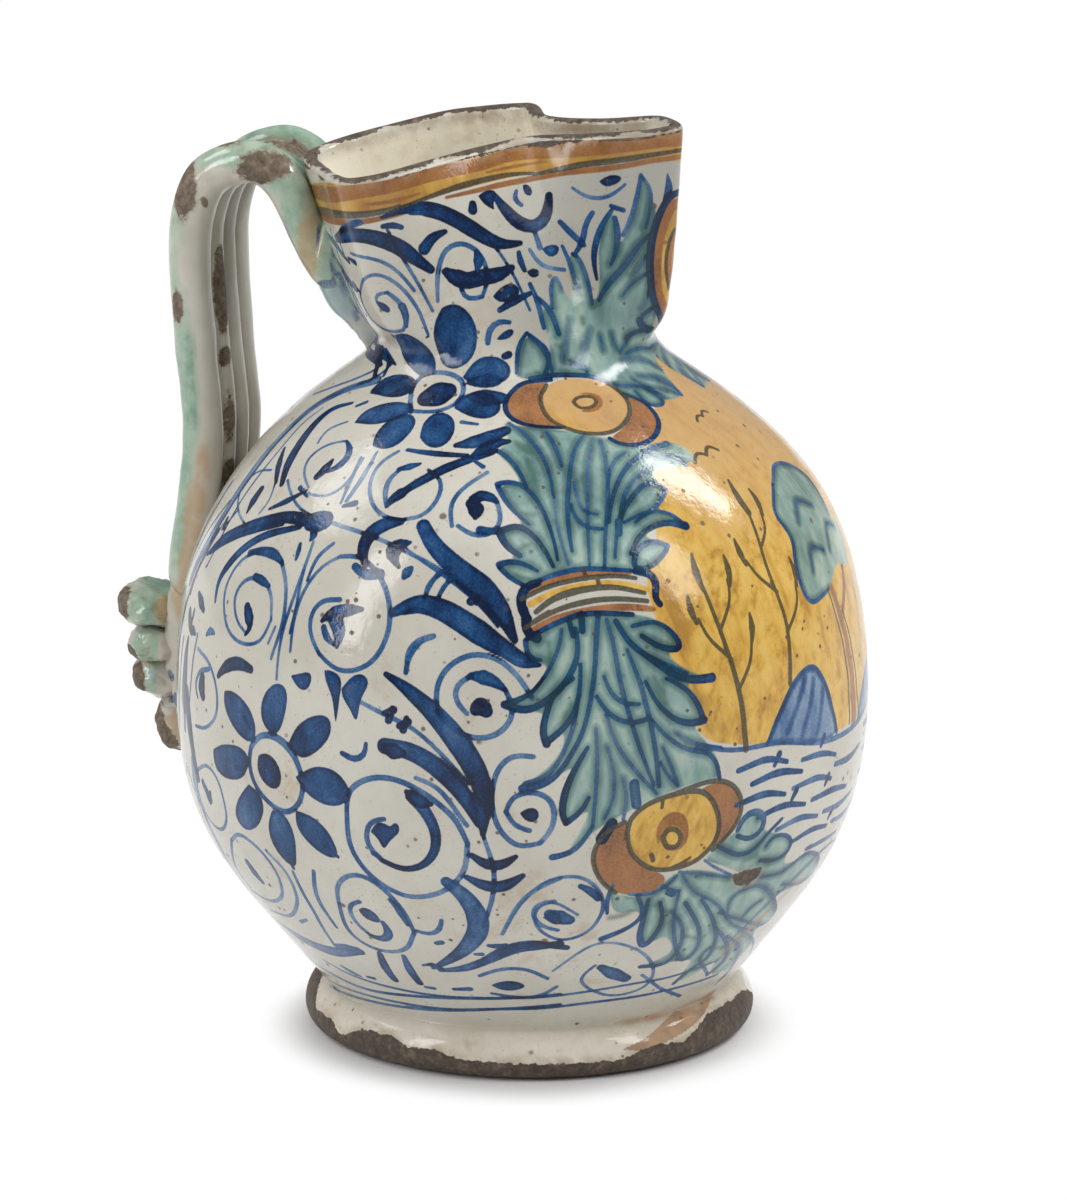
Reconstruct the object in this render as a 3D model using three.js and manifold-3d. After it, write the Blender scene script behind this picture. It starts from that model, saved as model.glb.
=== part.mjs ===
// A maiolica jug, as the potter puts it together: a thrown globe, a foot ring luted round its base, a thrown
// neck whose mouth is pinched into a trefoil, and a strap handle of four rolls of clay laid side by side.
// A wedge of clay presses the strap on to the neck, and a tail with curled knobs ends it on the belly.
// Millimetres, +Z up. The origin is the centre of the flat base, +X points to the spout and -X to the handle.
import * as THREE from "three";
import { mergeVertices } from "three/addons/utils/BufferGeometryUtils.js";
import Module from "manifold-3d";

const wasm = await Module();
wasm.setup();

// Driving sizes. First the slip joint left between two luted pieces.
const LUTE_GAP = 0.3;
// How far the vessel leans towards its handle, in millimetres for each millimetre of height.
const LEAN = 0.0224;

// Foot ring.
const FOOT_HEIGHT = 15;
const FOOT_EDGE_RADIUS = 68;
const FOOT_EDGE_HEIGHT = 6;
const FOOT_BASE_RADIUS = 60;
const FOOT_TOP_RADIUS = 62;
const FOOT_FILLET = 3;

// Body.
const BASE_RADIUS = 50;
const BELLY_RADIUS = 104;
const BELLY_HEIGHT = 104;
const SHOULDER_TOP_HEIGHT = 204;
const SHOULDER_TOP_RADIUS = 46;
const BODY_WALL = 5.5;
const FLOOR_THICKNESS = 8;
// How long the outline stays upright above and below the belly, and its slopes, in degrees, at the two seams.
const SHOULDER_FULLNESS = 44.8;
const SHOULDER_SLOPE = 32.3;
const SHOULDER_SLOPE_LENGTH = 52.5;
const BOWL_FULLNESS = 43.8;
const BOWL_SLOPE = 52.5;
const BOWL_SLOPE_LENGTH = 44.4;

// Neck and mouth.
const NECK_WALL = 4.5;
const WAIST_RADIUS = 42.2;
const WAIST_ABOVE_SEAM = 5;
const NECK_LENGTH = 65.8;
const LIP_ROUND = 1.8;
// How far the rim climbs for each millimetre towards the spout, and for each millimetre towards the far side.
const RIM_RISE = 0.125;
const RIM_ROLL = 0.08;
const MOUTH_BACK = 63;
const NEAR_LOBE = 47.5;
const FAR_LOBE = 38;
const SPOUT_REACH = 54;
const SPOUT_HALF_WIDTH = 10.5;
const PINCH_DISTANCE = 9;
// How late the neck opens out at the back, the spout and the pinches: 1 is even, more is later.
const BACK_FLARE = 0.65;
const SPOUT_FLARE = 0.38;
const PINCH_FLARE = 1.6;
// Where the pinches are round the neck, and how wide the spout's and the pinches' shapes spread, in radians.
const PINCH_ANGLE = 0.9;
const PINCH_SPREAD = 0.35;
const SPOUT_SPREAD = 0.3;

// Strap handle.
const ROLL_RADIUS = 6.3;
const RIB_RADIUS = 5;
const STRAP_PITCH = 9.5;
const RIB_INSET = 1.6;
const HANDLE_REACH = 97.5;
const CREST_ABOVE_SEAM = 57;
const ROOT_ABOVE_SEAM = 30;
const ROOT_LIFT = 1.2;
const ARCH_RADIUS = 19;
const ARCH_DROP = 6.6;
const STRAP_END_HEIGHT = 124;
const STRAP_END_LIFT = 0.5;
const STRAP_TOUCH_LENGTH = 27;
const STRAP_TOUCH_LIFT = 2;

// Wedge that presses the strap on to the neck.
const ROOT_THICKNESS = 11;
const ROOT_END_THICKNESS = 3;
const ROOT_HALF_WIDTH = 21;
const ROOT_END_HALF_WIDTH = 12.6;
const ROOT_END_ABOVE_SEAM = 3;

// Tail and knobs.
const TAIL_THICKNESS = 11;
const TAIL_WIDTH = 20;
const TAIL_ROUND = 3;
const TAIL_TOP_HEIGHT = 128;
const TAIL_END_HEIGHT = 64;
const KNOB_RADII = [7.1, 6.4, 6, 3.6, 5];
const KNOB_HALF_WIDTHS = [13, 11.5, 10.5, 5.5, 6.5];
const KNOB_PROUD = [8.5, 6, 6, 2, 3.4];
const KNOB_PRESS = 1.6;
const KNOB_DROP = 5;

// How deep a piece reaches into the one it is luted to before it is cut to seat there.
const SEAT_DEPTH = 6;

// Facets.
const TURNS = 60;
const PROFILE_STEPS = 8;
const FOOT_STEPS = 4;
const NECK_ROWS = 8;
const REED_SIDES = 10;
const REED_STEPS = 32;
const ROOT_ROWS = 7;
const ROOT_SIDES = 16;
const KNOB_SIDES = 14;
const KNOB_ROWS = 9;

const white = { color: 0xe4dccb, roughness: 0.22, metalness: 0 };
const green = { color: 0x9dc0a8, roughness: 0.25, metalness: 0 };
const clay = { color: 0x6e5d50, roughness: 0.85, metalness: 0 };

// Geometry tools.
function lathe(points) {
  return new THREE.LatheGeometry(points, TURNS).rotateX(Math.PI / 2);
}

// Rings of points, each joined to the next. A ring stack either closes on itself or ends in two flat caps.
function loft(rings, closed) {
  const columns = rings[0].length;
  const positions = rings.flat().flatMap((p) => [p.x, p.y, p.z]);
  const faces = [];
  const joined = closed ? rings.length : rings.length - 1;
  for (let row = 0; row < joined; row++) {
    const next = (row + 1) % rings.length;
    for (let column = 0; column < columns; column++) {
      const beside = (column + 1) % columns;
      const a = row * columns + column;
      const b = row * columns + beside;
      const c = next * columns + beside;
      const d = next * columns + column;
      faces.push(a, b, c, a, c, d);
    }
  }
  if (!closed) {
    for (const [row, flip] of [[0, true], [rings.length - 1, false]]) {
      const middle = rings[row].reduce((sum, p) => sum.add(p), new THREE.Vector3()).divideScalar(columns);
      const hub = positions.length / 3;
      positions.push(middle.x, middle.y, middle.z);
      for (let column = 0; column < columns; column++) {
        const a = row * columns + column;
        const b = row * columns + ((column + 1) % columns);
        faces.push(...(flip ? [hub, b, a] : [hub, a, b]));
      }
    }
  }
  const geometry = new THREE.BufferGeometry();
  geometry.setAttribute("position", new THREE.Float32BufferAttribute(positions, 3));
  geometry.setIndex(faces);
  return geometry;
}

function toSolid(geometry) {
  const bare = geometry.clone();
  bare.deleteAttribute("normal");
  bare.deleteAttribute("uv");
  const merged = mergeVertices(bare, 1e-4);
  return new wasm.Manifold(
    new wasm.Mesh({
      numProp: 3,
      vertProperties: merged.attributes.position.array,
      triVerts: new Uint32Array(merged.index.array),
    }),
  );
}

function toGeometry(solid) {
  const mesh = solid.getMesh();
  const geometry = new THREE.BufferGeometry();
  geometry.setAttribute("position", new THREE.BufferAttribute(mesh.vertProperties, 3));
  geometry.setIndex(new THREE.BufferAttribute(mesh.triVerts, 1));
  return geometry;
}

function cut(geometry, ...tools) {
  return toGeometry(tools.reduce((solid, tool) => solid.subtract(tool), toSolid(geometry)));
}

// Everything above the base leans with the vessel.
function lean(geometry) {
  geometry.applyMatrix4(new THREE.Matrix4().set(1, 0, -LEAN, 0, 0, 1, 0, 0, 0, 0, 1, 0, 0, 0, 0, 1));
  geometry.computeVertexNormals();
  return geometry;
}

// Body outline: a bowl up to the belly and a shoulder above it, both upright where they meet.
const bowlAngle = THREE.MathUtils.degToRad(BOWL_SLOPE);
const shoulderAngle = THREE.MathUtils.degToRad(SHOULDER_SLOPE);
const bowl = new THREE.CubicBezierCurve(
  new THREE.Vector2(FOOT_TOP_RADIUS, FOOT_HEIGHT),
  new THREE.Vector2(
    FOOT_TOP_RADIUS + BOWL_SLOPE_LENGTH * Math.cos(bowlAngle),
    FOOT_HEIGHT + BOWL_SLOPE_LENGTH * Math.sin(bowlAngle),
  ),
  new THREE.Vector2(BELLY_RADIUS, BELLY_HEIGHT - BOWL_FULLNESS),
  new THREE.Vector2(BELLY_RADIUS, BELLY_HEIGHT),
);
const shoulder = new THREE.CubicBezierCurve(
  new THREE.Vector2(BELLY_RADIUS, BELLY_HEIGHT),
  new THREE.Vector2(BELLY_RADIUS, BELLY_HEIGHT + SHOULDER_FULLNESS),
  new THREE.Vector2(
    SHOULDER_TOP_RADIUS + SHOULDER_SLOPE_LENGTH * Math.cos(shoulderAngle),
    SHOULDER_TOP_HEIGHT - SHOULDER_SLOPE_LENGTH * Math.sin(shoulderAngle),
  ),
  new THREE.Vector2(SHOULDER_TOP_RADIUS, SHOULDER_TOP_HEIGHT),
);

// Points of the outside, from the foot seam to the neck seam, moved outwards by grow.
function bodyOutline(grow) {
  const points = [];
  for (const curve of [bowl, shoulder]) {
    for (let step = curve === bowl ? 0 : 1; step <= PROFILE_STEPS; step++) {
      const share = step / PROFILE_STEPS;
      const tangent = curve.getTangent(share);
      const point = curve.getPoint(share);
      points.push(new THREE.Vector2(point.x + tangent.y * grow, point.y - tangent.x * grow));
    }
  }
  return points;
}

// Radius of the outside of the body at a height, for what is luted on to it.
function bodyRadius(height) {
  const points = bodyOutline(0);
  const above = points.findIndex((p) => p.y >= height);
  const [low, high] = [points[above - 1], points[above]];
  return THREE.MathUtils.mapLinear(height, low.y, high.y, low.x, high.x);
}

function body() {
  const inside = bodyOutline(-BODY_WALL)
    .filter((p) => p.y > FLOOR_THICKNESS && p.y < SHOULDER_TOP_HEIGHT)
    .reverse();
  const profile = [
    new THREE.Vector2(0, 0),
    new THREE.Vector2(BASE_RADIUS, 0),
    ...bodyOutline(0),
    new THREE.Vector2(SHOULDER_TOP_RADIUS - NECK_WALL, SHOULDER_TOP_HEIGHT),
    ...inside,
    new THREE.Vector2(BASE_RADIUS - BODY_WALL, FLOOR_THICKNESS),
    new THREE.Vector2(0, FLOOR_THICKNESS),
  ];
  return lathe(profile);
}

// The full outside of the body as a plug, for cutting what seats against it.
function bodyPlug(grow) {
  const outline = bodyOutline(grow);
  const top = outline[outline.length - 1].y;
  return toSolid(lathe([new THREE.Vector2(0, 0), ...outline, new THREE.Vector2(0, top)]));
}

// The ring's inside follows the cone of the body's base, a slip joint away from it.
function footRing() {
  const cone = new THREE.Vector2(FOOT_TOP_RADIUS - BASE_RADIUS, FOOT_HEIGHT).normalize();
  const gap = LUTE_GAP / cone.y;
  const edge = new THREE.Path();
  edge.moveTo(BASE_RADIUS + gap, 0);
  edge.lineTo(FOOT_BASE_RADIUS, 0);
  edge.quadraticCurveTo(FOOT_EDGE_RADIUS, 0, FOOT_EDGE_RADIUS, FOOT_EDGE_HEIGHT);
  edge.quadraticCurveTo(FOOT_EDGE_RADIUS, FOOT_HEIGHT - FOOT_FILLET, FOOT_TOP_RADIUS + 2 * gap, FOOT_HEIGHT);
  edge.lineTo(FOOT_TOP_RADIUS + gap, FOOT_HEIGHT);
  edge.closePath();
  return lathe(edge.getPoints(FOOT_STEPS));
}

// Mouth outline seen from above, from the spout round the far lobe, the back and the near lobe. The two lobes
// were pinched by hand, so they aren't alike. Along the spout a point is a share of the way from the pinches to
// the tip, and of the spout's half width. Along a lobe it is a share of how far back and how wide it goes.
function mouthPoints() {
  const farSpout = [[1, -0.5], [0.89, 0.4], [0.71, 1], [0.33, 1.1]];
  const farLobe = [[-0.1, 0.5], [0.06, 0.92], [0.18, 1], [0.37, 0.98], [0.56, 0.9], [0.76, 0.6], [0.92, 0.31]];
  const nearLobe = [[0.98, 0.24], [0.79, 0.63], [0.67, 0.85], [0.53, 1], [0.35, 0.93], [0.17, 0.62], [0, 0.35]];
  const nearSpout = [[0.04, -0.8], [0.33, -0.92], [0.8, -1]];
  const onSpout = ([along, across]) =>
    new THREE.Vector3(THREE.MathUtils.lerp(PINCH_DISTANCE, SPOUT_REACH, along), across * SPOUT_HALF_WIDTH, 0);
  const onLobe = (width) => ([back, across]) => new THREE.Vector3(-back * MOUTH_BACK, across * width, 0);
  return [
    ...farSpout.map(onSpout),
    ...farLobe.map(onLobe(FAR_LOBE)),
    new THREE.Vector3(-MOUTH_BACK, 0, 0),
    ...nearLobe.map(onLobe(-NEAR_LOBE)),
    ...nearSpout.map(onSpout),
  ];
}

const mouth = new THREE.CatmullRomCurve3(mouthPoints(), true, "catmullrom", 0.5);
const mouthRing = mouth.getSpacedPoints(TURNS).slice(0, TURNS);

// Inward direction of the mouth outline at a column.
function mouthInward(column) {
  const before = mouthRing[(column + TURNS - 1) % TURNS];
  const after = mouthRing[(column + 1) % TURNS];
  const along = after.clone().sub(before).normalize();
  return new THREE.Vector3(-along.y, along.x, 0);
}

// How the neck passes from its round waist to the mouth: early at the spout and the back, late at the pinches.
function flareShare(turn, rise) {
  const atSpout = Math.exp(-((turn / SPOUT_SPREAD) ** 2));
  const atPinch = Math.exp(-(((turn - PINCH_ANGLE) / PINCH_SPREAD) ** 2));
  const power = BACK_FLARE + (SPOUT_FLARE - BACK_FLARE) * atSpout + (PINCH_FLARE - BACK_FLARE) * atPinch;
  return Math.max(rise, 0) ** power;
}

// How far up a height above the seam is, between the waist and the rim over a point of the mouth's plan.
function neckRise(aboveSeam, x, y) {
  const rim = NECK_LENGTH + RIM_RISE * x + RIM_ROLL * y;
  return (aboveSeam - WAIST_ABOVE_SEAM) / (rim - WAIST_ABOVE_SEAM);
}

// A ring of the neck's skin, a depth inside its outside. Level 0 is the body seam and 1 the lip.
function neckRing(level, depth, lift = 0) {
  return mouthRing.map((point, column) => {
    const aboveSeam = level * (NECK_LENGTH + RIM_RISE * point.x + RIM_ROLL * point.y);
    const fillet = Math.max(0, 1 - aboveSeam / WAIST_ABOVE_SEAM) ** 2;
    const radius = THREE.MathUtils.lerp(WAIST_RADIUS, SHOULDER_TOP_RADIUS, fillet) - depth;
    const turn = (column / TURNS) * 2 * Math.PI;
    const share = flareShare(Math.min(turn, 2 * Math.PI - turn), neckRise(aboveSeam, point.x, point.y));
    const edge = point.clone().addScaledVector(mouthInward(column), depth);
    return new THREE.Vector3(
      THREE.MathUtils.lerp(radius * Math.cos(turn), edge.x, share),
      THREE.MathUtils.lerp(radius * Math.sin(turn), edge.y, share),
      SHOULDER_TOP_HEIGHT + aboveSeam + lift,
    );
  });
}

// How far back the outside of the neck is behind the axis, at a height above the seam.
function neckBack(aboveSeam) {
  return THREE.MathUtils.lerp(WAIST_RADIUS, MOUTH_BACK, flareShare(Math.PI, neckRise(aboveSeam, -MOUTH_BACK, 0)));
}

function neckLevels() {
  const waist = WAIST_ABOVE_SEAM / NECK_LENGTH;
  const levels = [0, waist / 2, waist];
  for (let row = 1; row <= NECK_ROWS; row++) {
    levels.push(waist + ((1 - waist) * row) / NECK_ROWS);
  }
  return levels;
}

function neck() {
  const levels = neckLevels();
  const outside = levels.map((level) => neckRing(level, 0));
  const lip = [0.25, 0.75].map((share) => neckRing(1, share * NECK_WALL, LIP_ROUND));
  const inside = levels.map((level) => neckRing(level, NECK_WALL)).reverse();
  return loft([...outside, ...lip, ...inside], true);
}

function neckPlug(grow) {
  const rings = neckLevels().map((level) => neckRing(level, -grow));
  return toSolid(loft(rings, false));
}

// The line of the strap's middle, in the plane of the handle: up the back of the neck, over the arch, down clear
// of the shoulder and in to touch the belly.
function handlePath() {
  const crest = SHOULDER_TOP_HEIGHT + CREST_ABOVE_SEAM;
  const archTop = ARCH_RADIUS - HANDLE_REACH;
  const midRoot = (ROOT_ABOVE_SEAM + CREST_ABOVE_SEAM - ARCH_DROP / 2) / 2;
  const touch = STRAP_END_HEIGHT + STRAP_TOUCH_LENGTH;
  const points = [
    [-neckBack(ROOT_ABOVE_SEAM) - ROOT_LIFT, SHOULDER_TOP_HEIGHT + ROOT_ABOVE_SEAM],
    [-neckBack(midRoot) - ROLL_RADIUS / 2, SHOULDER_TOP_HEIGHT + midRoot],
    [archTop + ARCH_RADIUS * 0.63, crest - ARCH_DROP],
    [archTop + ARCH_RADIUS * 0.34, crest - ARCH_DROP * 0.23],
    [archTop, crest],
    [archTop - ARCH_RADIUS * 0.68, crest - ARCH_RADIUS * 0.28],
    [-HANDLE_REACH, crest - ARCH_RADIUS],
    [-HANDLE_REACH, SHOULDER_TOP_HEIGHT],
    [-HANDLE_REACH + STRAP_TOUCH_LIFT * 0.75, (SHOULDER_TOP_HEIGHT + touch) / 2],
    [-bodyRadius(touch) - STRAP_TOUCH_LIFT, touch],
    [-bodyRadius(STRAP_END_HEIGHT) - STRAP_END_LIFT, STRAP_END_HEIGHT],
  ];
  return new THREE.CatmullRomCurve3(points.map(([x, z]) => new THREE.Vector3(x, 0, z)), false, "centripetal");
}

// One roll of clay, flattened where it presses on its neighbours, at a distance from the middle of the strap.
function reed(side, radius, inset, innerFlat, outerFlat) {
  const section = new THREE.Shape();
  for (let corner = 0; corner < REED_SIDES; corner++) {
    const turn = ((corner + 0.5) / REED_SIDES) * 2 * Math.PI;
    const across = THREE.MathUtils.clamp(radius * Math.cos(turn), innerFlat, outerFlat);
    const out = radius * Math.sin(turn) - inset;
    section[corner ? "lineTo" : "moveTo"](across - side, out);
  }
  section.closePath();
  return new THREE.ExtrudeGeometry(section, { steps: REED_STEPS, extrudePath: handlePath() });
}

// The space that the whole strap takes, grown on every side.
function strapPlug(grow) {
  const half = STRAP_PITCH * 1.5 + ROLL_RADIUS + grow;
  const thick = ROLL_RADIUS + grow;
  const section = new THREE.Shape();
  section.moveTo(-half, -thick);
  section.lineTo(half, -thick);
  section.lineTo(half, thick);
  section.lineTo(-half, thick);
  section.closePath();
  return toSolid(new THREE.ExtrudeGeometry(section, { steps: REED_STEPS, extrudePath: handlePath() }));
}

// A wedge down the back of the neck, thick under the strap and thinning out at the waist.
function handleRoot() {
  const rings = [];
  for (let row = 0; row <= ROOT_ROWS; row++) {
    const share = row / ROOT_ROWS;
    const aboveSeam = THREE.MathUtils.lerp(ROOT_END_ABOVE_SEAM, ROOT_ABOVE_SEAM, share);
    const back = neckBack(Math.max(aboveSeam, WAIST_ABOVE_SEAM));
    const thick = THREE.MathUtils.lerp(ROOT_END_THICKNESS, ROOT_THICKNESS, share);
    const half = THREE.MathUtils.lerp(ROOT_END_HALF_WIDTH, ROOT_HALF_WIDTH, share);
    const ring = [];
    for (let side = 0; side < ROOT_SIDES; side++) {
      const turn = (side / ROOT_SIDES) * 2 * Math.PI;
      const out = Math.sqrt(Math.max(0, Math.cos(turn))) * (thick + SEAT_DEPTH);
      const across = -half * Math.sign(Math.sin(turn)) * Math.sqrt(Math.abs(Math.sin(turn)));
      ring.push(new THREE.Vector3(SEAT_DEPTH - back - out, across, SHOULDER_TOP_HEIGHT + aboveSeam));
    }
    rings.push(ring);
  }
  return loft(rings, false);
}

// Side view of the tail that ends the handle on the belly, then its rounded width. Down the tail each point is
// a share of its length and of its thickness.
function tailBlock(grow) {
  const outside = [[0, 0.8], [0.19, 1], [0.44, 1], [0.66, 0.85], [0.87, 0.7], [1, 0]];
  const side = new THREE.Shape([
    new THREE.Vector2(SEAT_DEPTH - bodyRadius(TAIL_TOP_HEIGHT), TAIL_TOP_HEIGHT),
    ...outside.map(([down, thick]) => {
      const height = THREE.MathUtils.lerp(TAIL_TOP_HEIGHT, TAIL_END_HEIGHT, down);
      return new THREE.Vector2(-bodyRadius(height) - thick * TAIL_THICKNESS - grow, height);
    }),
    new THREE.Vector2(SEAT_DEPTH - bodyRadius(TAIL_END_HEIGHT), TAIL_END_HEIGHT),
  ]);
  const geometry = new THREE.ExtrudeGeometry(side, {
    depth: TAIL_WIDTH - 2 * TAIL_ROUND + 2 * grow,
    bevelSize: TAIL_ROUND,
    bevelOffset: -TAIL_ROUND,
    bevelThickness: TAIL_ROUND,
    bevelSegments: 2,
  });
  geometry.translate(0, 0, TAIL_ROUND - TAIL_WIDTH / 2 - grow);
  return geometry.rotateX(Math.PI / 2);
}

// Knobs stacked down the tail, each a ball of clay pressed against the one above.
function knobPlaces() {
  let height = STRAP_END_HEIGHT - KNOB_DROP;
  return KNOB_RADII.map((radius, index) => {
    if (index) {
      height -= KNOB_RADII[index - 1] + radius - KNOB_PRESS;
    }
    const reach = bodyRadius(height) + TAIL_THICKNESS + KNOB_PROUD[index];
    return new THREE.Vector3(-reach, 0, height);
  });
}

function knob(index, grow) {
  const radius = KNOB_RADII[index] + grow;
  const place = knobPlaces()[index];
  return new THREE.SphereGeometry(radius, KNOB_SIDES, KNOB_ROWS)
    .scale(1, (KNOB_HALF_WIDTHS[index] + grow) / radius, 1)
    .translate(place.x, place.y, place.z);
}

const jug = new THREE.Group();

function add(name, geometry, look) {
  const mesh = new THREE.Mesh(lean(geometry), new THREE.MeshStandardMaterial(look));
  mesh.name = name;
  jug.add(mesh);
}

add("foot_ring", footRing(), clay);
add("body", body(), white);
add("neck", neck(), white);

const bodySeat = bodyPlug(LUTE_GAP);
const neckSeat = neckPlug(LUTE_GAP);
const flat = (STRAP_PITCH - LUTE_GAP) / 2;
for (const [name, side] of [["right", -1], ["left", 1]]) {
  const rib = reed(side * STRAP_PITCH * 0.5, RIB_RADIUS, RIB_INSET, -flat, flat);
  add(`handle_rib_${name}`, cut(rib, bodySeat, neckSeat), green);
  const innerFlat = side > 0 ? -ROLL_RADIUS : -flat;
  const outerFlat = side > 0 ? flat : ROLL_RADIUS;
  const roll = reed(side * STRAP_PITCH * 1.5, ROLL_RADIUS, 0, innerFlat, outerFlat);
  add(`handle_edge_roll_${name}`, cut(roll, bodySeat, neckSeat), green);
}

const strapSeat = strapPlug(LUTE_GAP);
add("handle_root", cut(handleRoot(), neckSeat, bodySeat, strapSeat), green);
add("handle_tail", cut(tailBlock(0), bodySeat, strapSeat), green);

const tailSeat = toSolid(tailBlock(LUTE_GAP));
KNOB_RADII.forEach((_, index) => {
  const above = index ? [toSolid(knob(index - 1, LUTE_GAP))] : [];
  add(`terminal_knob_${index + 1}`, cut(knob(index, 0), tailSeat, strapSeat, bodySeat, ...above), green);
});

export default jug;
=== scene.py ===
import math

import bpy
import numpy as np
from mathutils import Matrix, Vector


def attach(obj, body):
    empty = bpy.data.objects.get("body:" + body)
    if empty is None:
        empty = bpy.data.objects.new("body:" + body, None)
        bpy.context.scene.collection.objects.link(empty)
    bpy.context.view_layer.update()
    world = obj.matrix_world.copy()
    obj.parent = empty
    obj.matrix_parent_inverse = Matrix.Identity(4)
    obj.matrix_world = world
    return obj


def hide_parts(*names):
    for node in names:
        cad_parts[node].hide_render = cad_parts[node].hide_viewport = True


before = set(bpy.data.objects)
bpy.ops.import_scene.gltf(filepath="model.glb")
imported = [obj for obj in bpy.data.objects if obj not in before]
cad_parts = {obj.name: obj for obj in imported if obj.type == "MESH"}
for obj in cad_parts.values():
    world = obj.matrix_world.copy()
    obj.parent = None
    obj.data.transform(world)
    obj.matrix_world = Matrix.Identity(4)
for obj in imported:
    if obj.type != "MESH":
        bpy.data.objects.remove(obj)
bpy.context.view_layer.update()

# All shape values are in millimetres until a mesh is written; +X is the spout, -X the handle, +Z up.
MM = 0.001
LEAN = 0.0224
# The wall's drifts along X from its straight leaning axis: size, height and spread
WALL_DRIFTS = [(1.6, 172, 30), (-0.9, 72, 28)]
HANDLE_DRIFT = (0.9, 140, 25)

FOOT_HEIGHT = 15.0
FOOT_TOP_RADIUS = 62.0
FOOT_EDGE_RADIUS = 68.0
FOOT_EDGE_HEIGHT = 6.0
FOOT_BASE_RADIUS = 60.0
# Radius and height under the ring, from its seat on the body to the flat base
FOOT_UNDERSIDE = [(FOOT_TOP_RADIUS - 4, FOOT_HEIGHT - 1.5), (54, 6), (53, 1.2), (54.5, 0.0)]
BELLY_RADIUS = 104.0
BELLY_HEIGHT = 104.0
SEAM_HEIGHT = 204.0
SEAM_RADIUS = 46.0
BOWL_FULLNESS = 43.8
BOWL_SLOPE = math.radians(52.5)
BOWL_SLOPE_LENGTH = 44.4
SHOULDER_FULLNESS = 44.8
SHOULDER_SLOPE = math.radians(32.3)
SHOULDER_SLOPE_LENGTH = 52.5
BODY_WALL = 5.5
FLOOR_THICKNESS = 8.0
# Radius and height over the floor and under the base
FLOOR_LINE = [(52, FLOOR_THICKNESS + 1.5), (46, FLOOR_THICKNESS), (20, FLOOR_THICKNESS),
              (0.5, FLOOR_THICKNESS), (0.5, 0.4), (49, 0.4)]

NECK_WALL = 4.5
NECK_LENGTH = 65.8
RIM_RISE = 0.125
RIM_ROLL = 0.08
WAIST_RADIUS = 42.2
WAIST_IN = 1.8
FILLET_REACH = 7.5
FILLET_TOP = 11.0
WAIST_ABOVE_SEAM = 5.0
MOUTH_BACK = 63.0
NEAR_LOBE = 47.5
FAR_LOBE = 38.0
SPOUT_REACH = 55.0
SPOUT_HALF_WIDTH = 10.5
PINCH_DISTANCE = 9.0
BACK_FLARE = 0.65
SPOUT_FLARE = 0.38
PINCH_FLARE = 1.6
PINCH_ANGLE = 0.9
PINCH_SPREAD = 0.35
SPOUT_SPREAD = 0.3
LIP_ROUND = 1.8
# The mouth's outline, in shares of the spout's reach and half width and of each lobe's depth and width
FAR_SPOUT = [(1, -0.5), (0.89, 0.4), (0.71, 1), (0.33, 1.1)]
FAR_LOBE_SHARES = [(-0.1, 0.5), (0.06, 0.92), (0.18, 1), (0.37, 0.98), (0.56, 0.9), (0.76, 0.6), (0.92, 0.31)]
NEAR_LOBE_SHARES = [(0.98, 0.24), (0.79, 0.63), (0.67, 0.85), (0.53, 1), (0.35, 0.93), (0.17, 0.62), (0, 0.35)]
NEAR_SPOUT = [(0.04, -0.8), (0.33, -0.92), (0.8, -1)]

ROLL_RADIUS = 6.3
RIB_RADIUS = 5.0
STRAP_PITCH = 9.5
RIB_INSET = 1.6
HANDLE_REACH = 97.0
CREST_ABOVE_SEAM = 56.5
ROOT_ABOVE_SEAM = 30.0
ROOT_LIFT = 1.8
ARCH_RADIUS = 19.0
ARCH_DROP = 6.6
STRAP_END_HEIGHT = 124.0
STRAP_END_LIFT = 0.5
STRAP_TOUCH_LENGTH = 27.0
STRAP_TOUCH_LIFT = 2.0
ROLL_TIP_ABOVE_SEAM = 20.0
ROLL_TIP_SINK = 0.4
ROLL_TIP_LENGTH, ROLL_TIP_THINNING = 34.0, 0.36
ROLL_END_LENGTH, ROLL_END_SQUEEZE = 24.0, 0.22
ROOT_SEAT = 2.5
# Height above the seam, and how far the root stands out from the neck there
ROOT_OUTSIDE = [(2, 0.4), (5, 5.6), (8, 8.8), (12, 9.6), (18, 9.2), (24, 9.1), (29, 9.3), (34, 5.6), (38, 2.4),
                (40, 0.2)]
ROOT_HALF_WIDTH = 19.0
ROOT_END_HALF_WIDTH = 12.4
ROOT_END_ABOVE_SEAM = 3.0
TAIL_THICKNESS = 11.0
TAIL_WIDTH = 20.0
TAIL_TOP_HEIGHT = 128.0
TAIL_END_HEIGHT = 64.0
# Share of the way down the tail, and share of its thickness or width there
TAIL_OUTSIDE = [(0, 0.8), (0.19, 1), (0.44, 1), (0.66, 0.85), (0.87, 0.7), (1, 0)]
TAIL_TAPER = [(0, 0.85), (0.06, 1), (0.6, 0.92), (0.94, 0.7), (1, 0.35)]
KNOB_RADII = [7.1, 6.4, 6.0, 3.6, 5.0]
KNOB_HALF_WIDTHS = [13.0, 11.5, 10.5, 5.5, 6.5]
KNOB_PROUD = [8.5, 6.0, 6.0, 2.0, 3.4]
# How much wider and taller than a ball each knob is, and its shift (mm) towards the body
KNOB_STRETCH = [(1.06, 0.96, 0.6), (0.98, 1.0, 0.2), (1.0, 1.06, 0.0), (1.0, 1.1, 0.6), (0.85, 1.5, 1.2)]
KNOB_PRESS = 1.6
KNOB_DROP = 5.0
KNOB_FLATTENING = 0.9
KNOB_SAG = 0.12
SEAT_DEPTH = 6.0

COLUMNS = 1320
ROW_PITCH = 0.5
FOOT_ROW_COUNT = 56
NECK_ROW_COUNT = 150
LIP_ROW_COUNT = 12
MOUTH_STEPS = 1440
STRAP_STEPS = 620
ROLL_SIDES = 60


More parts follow.
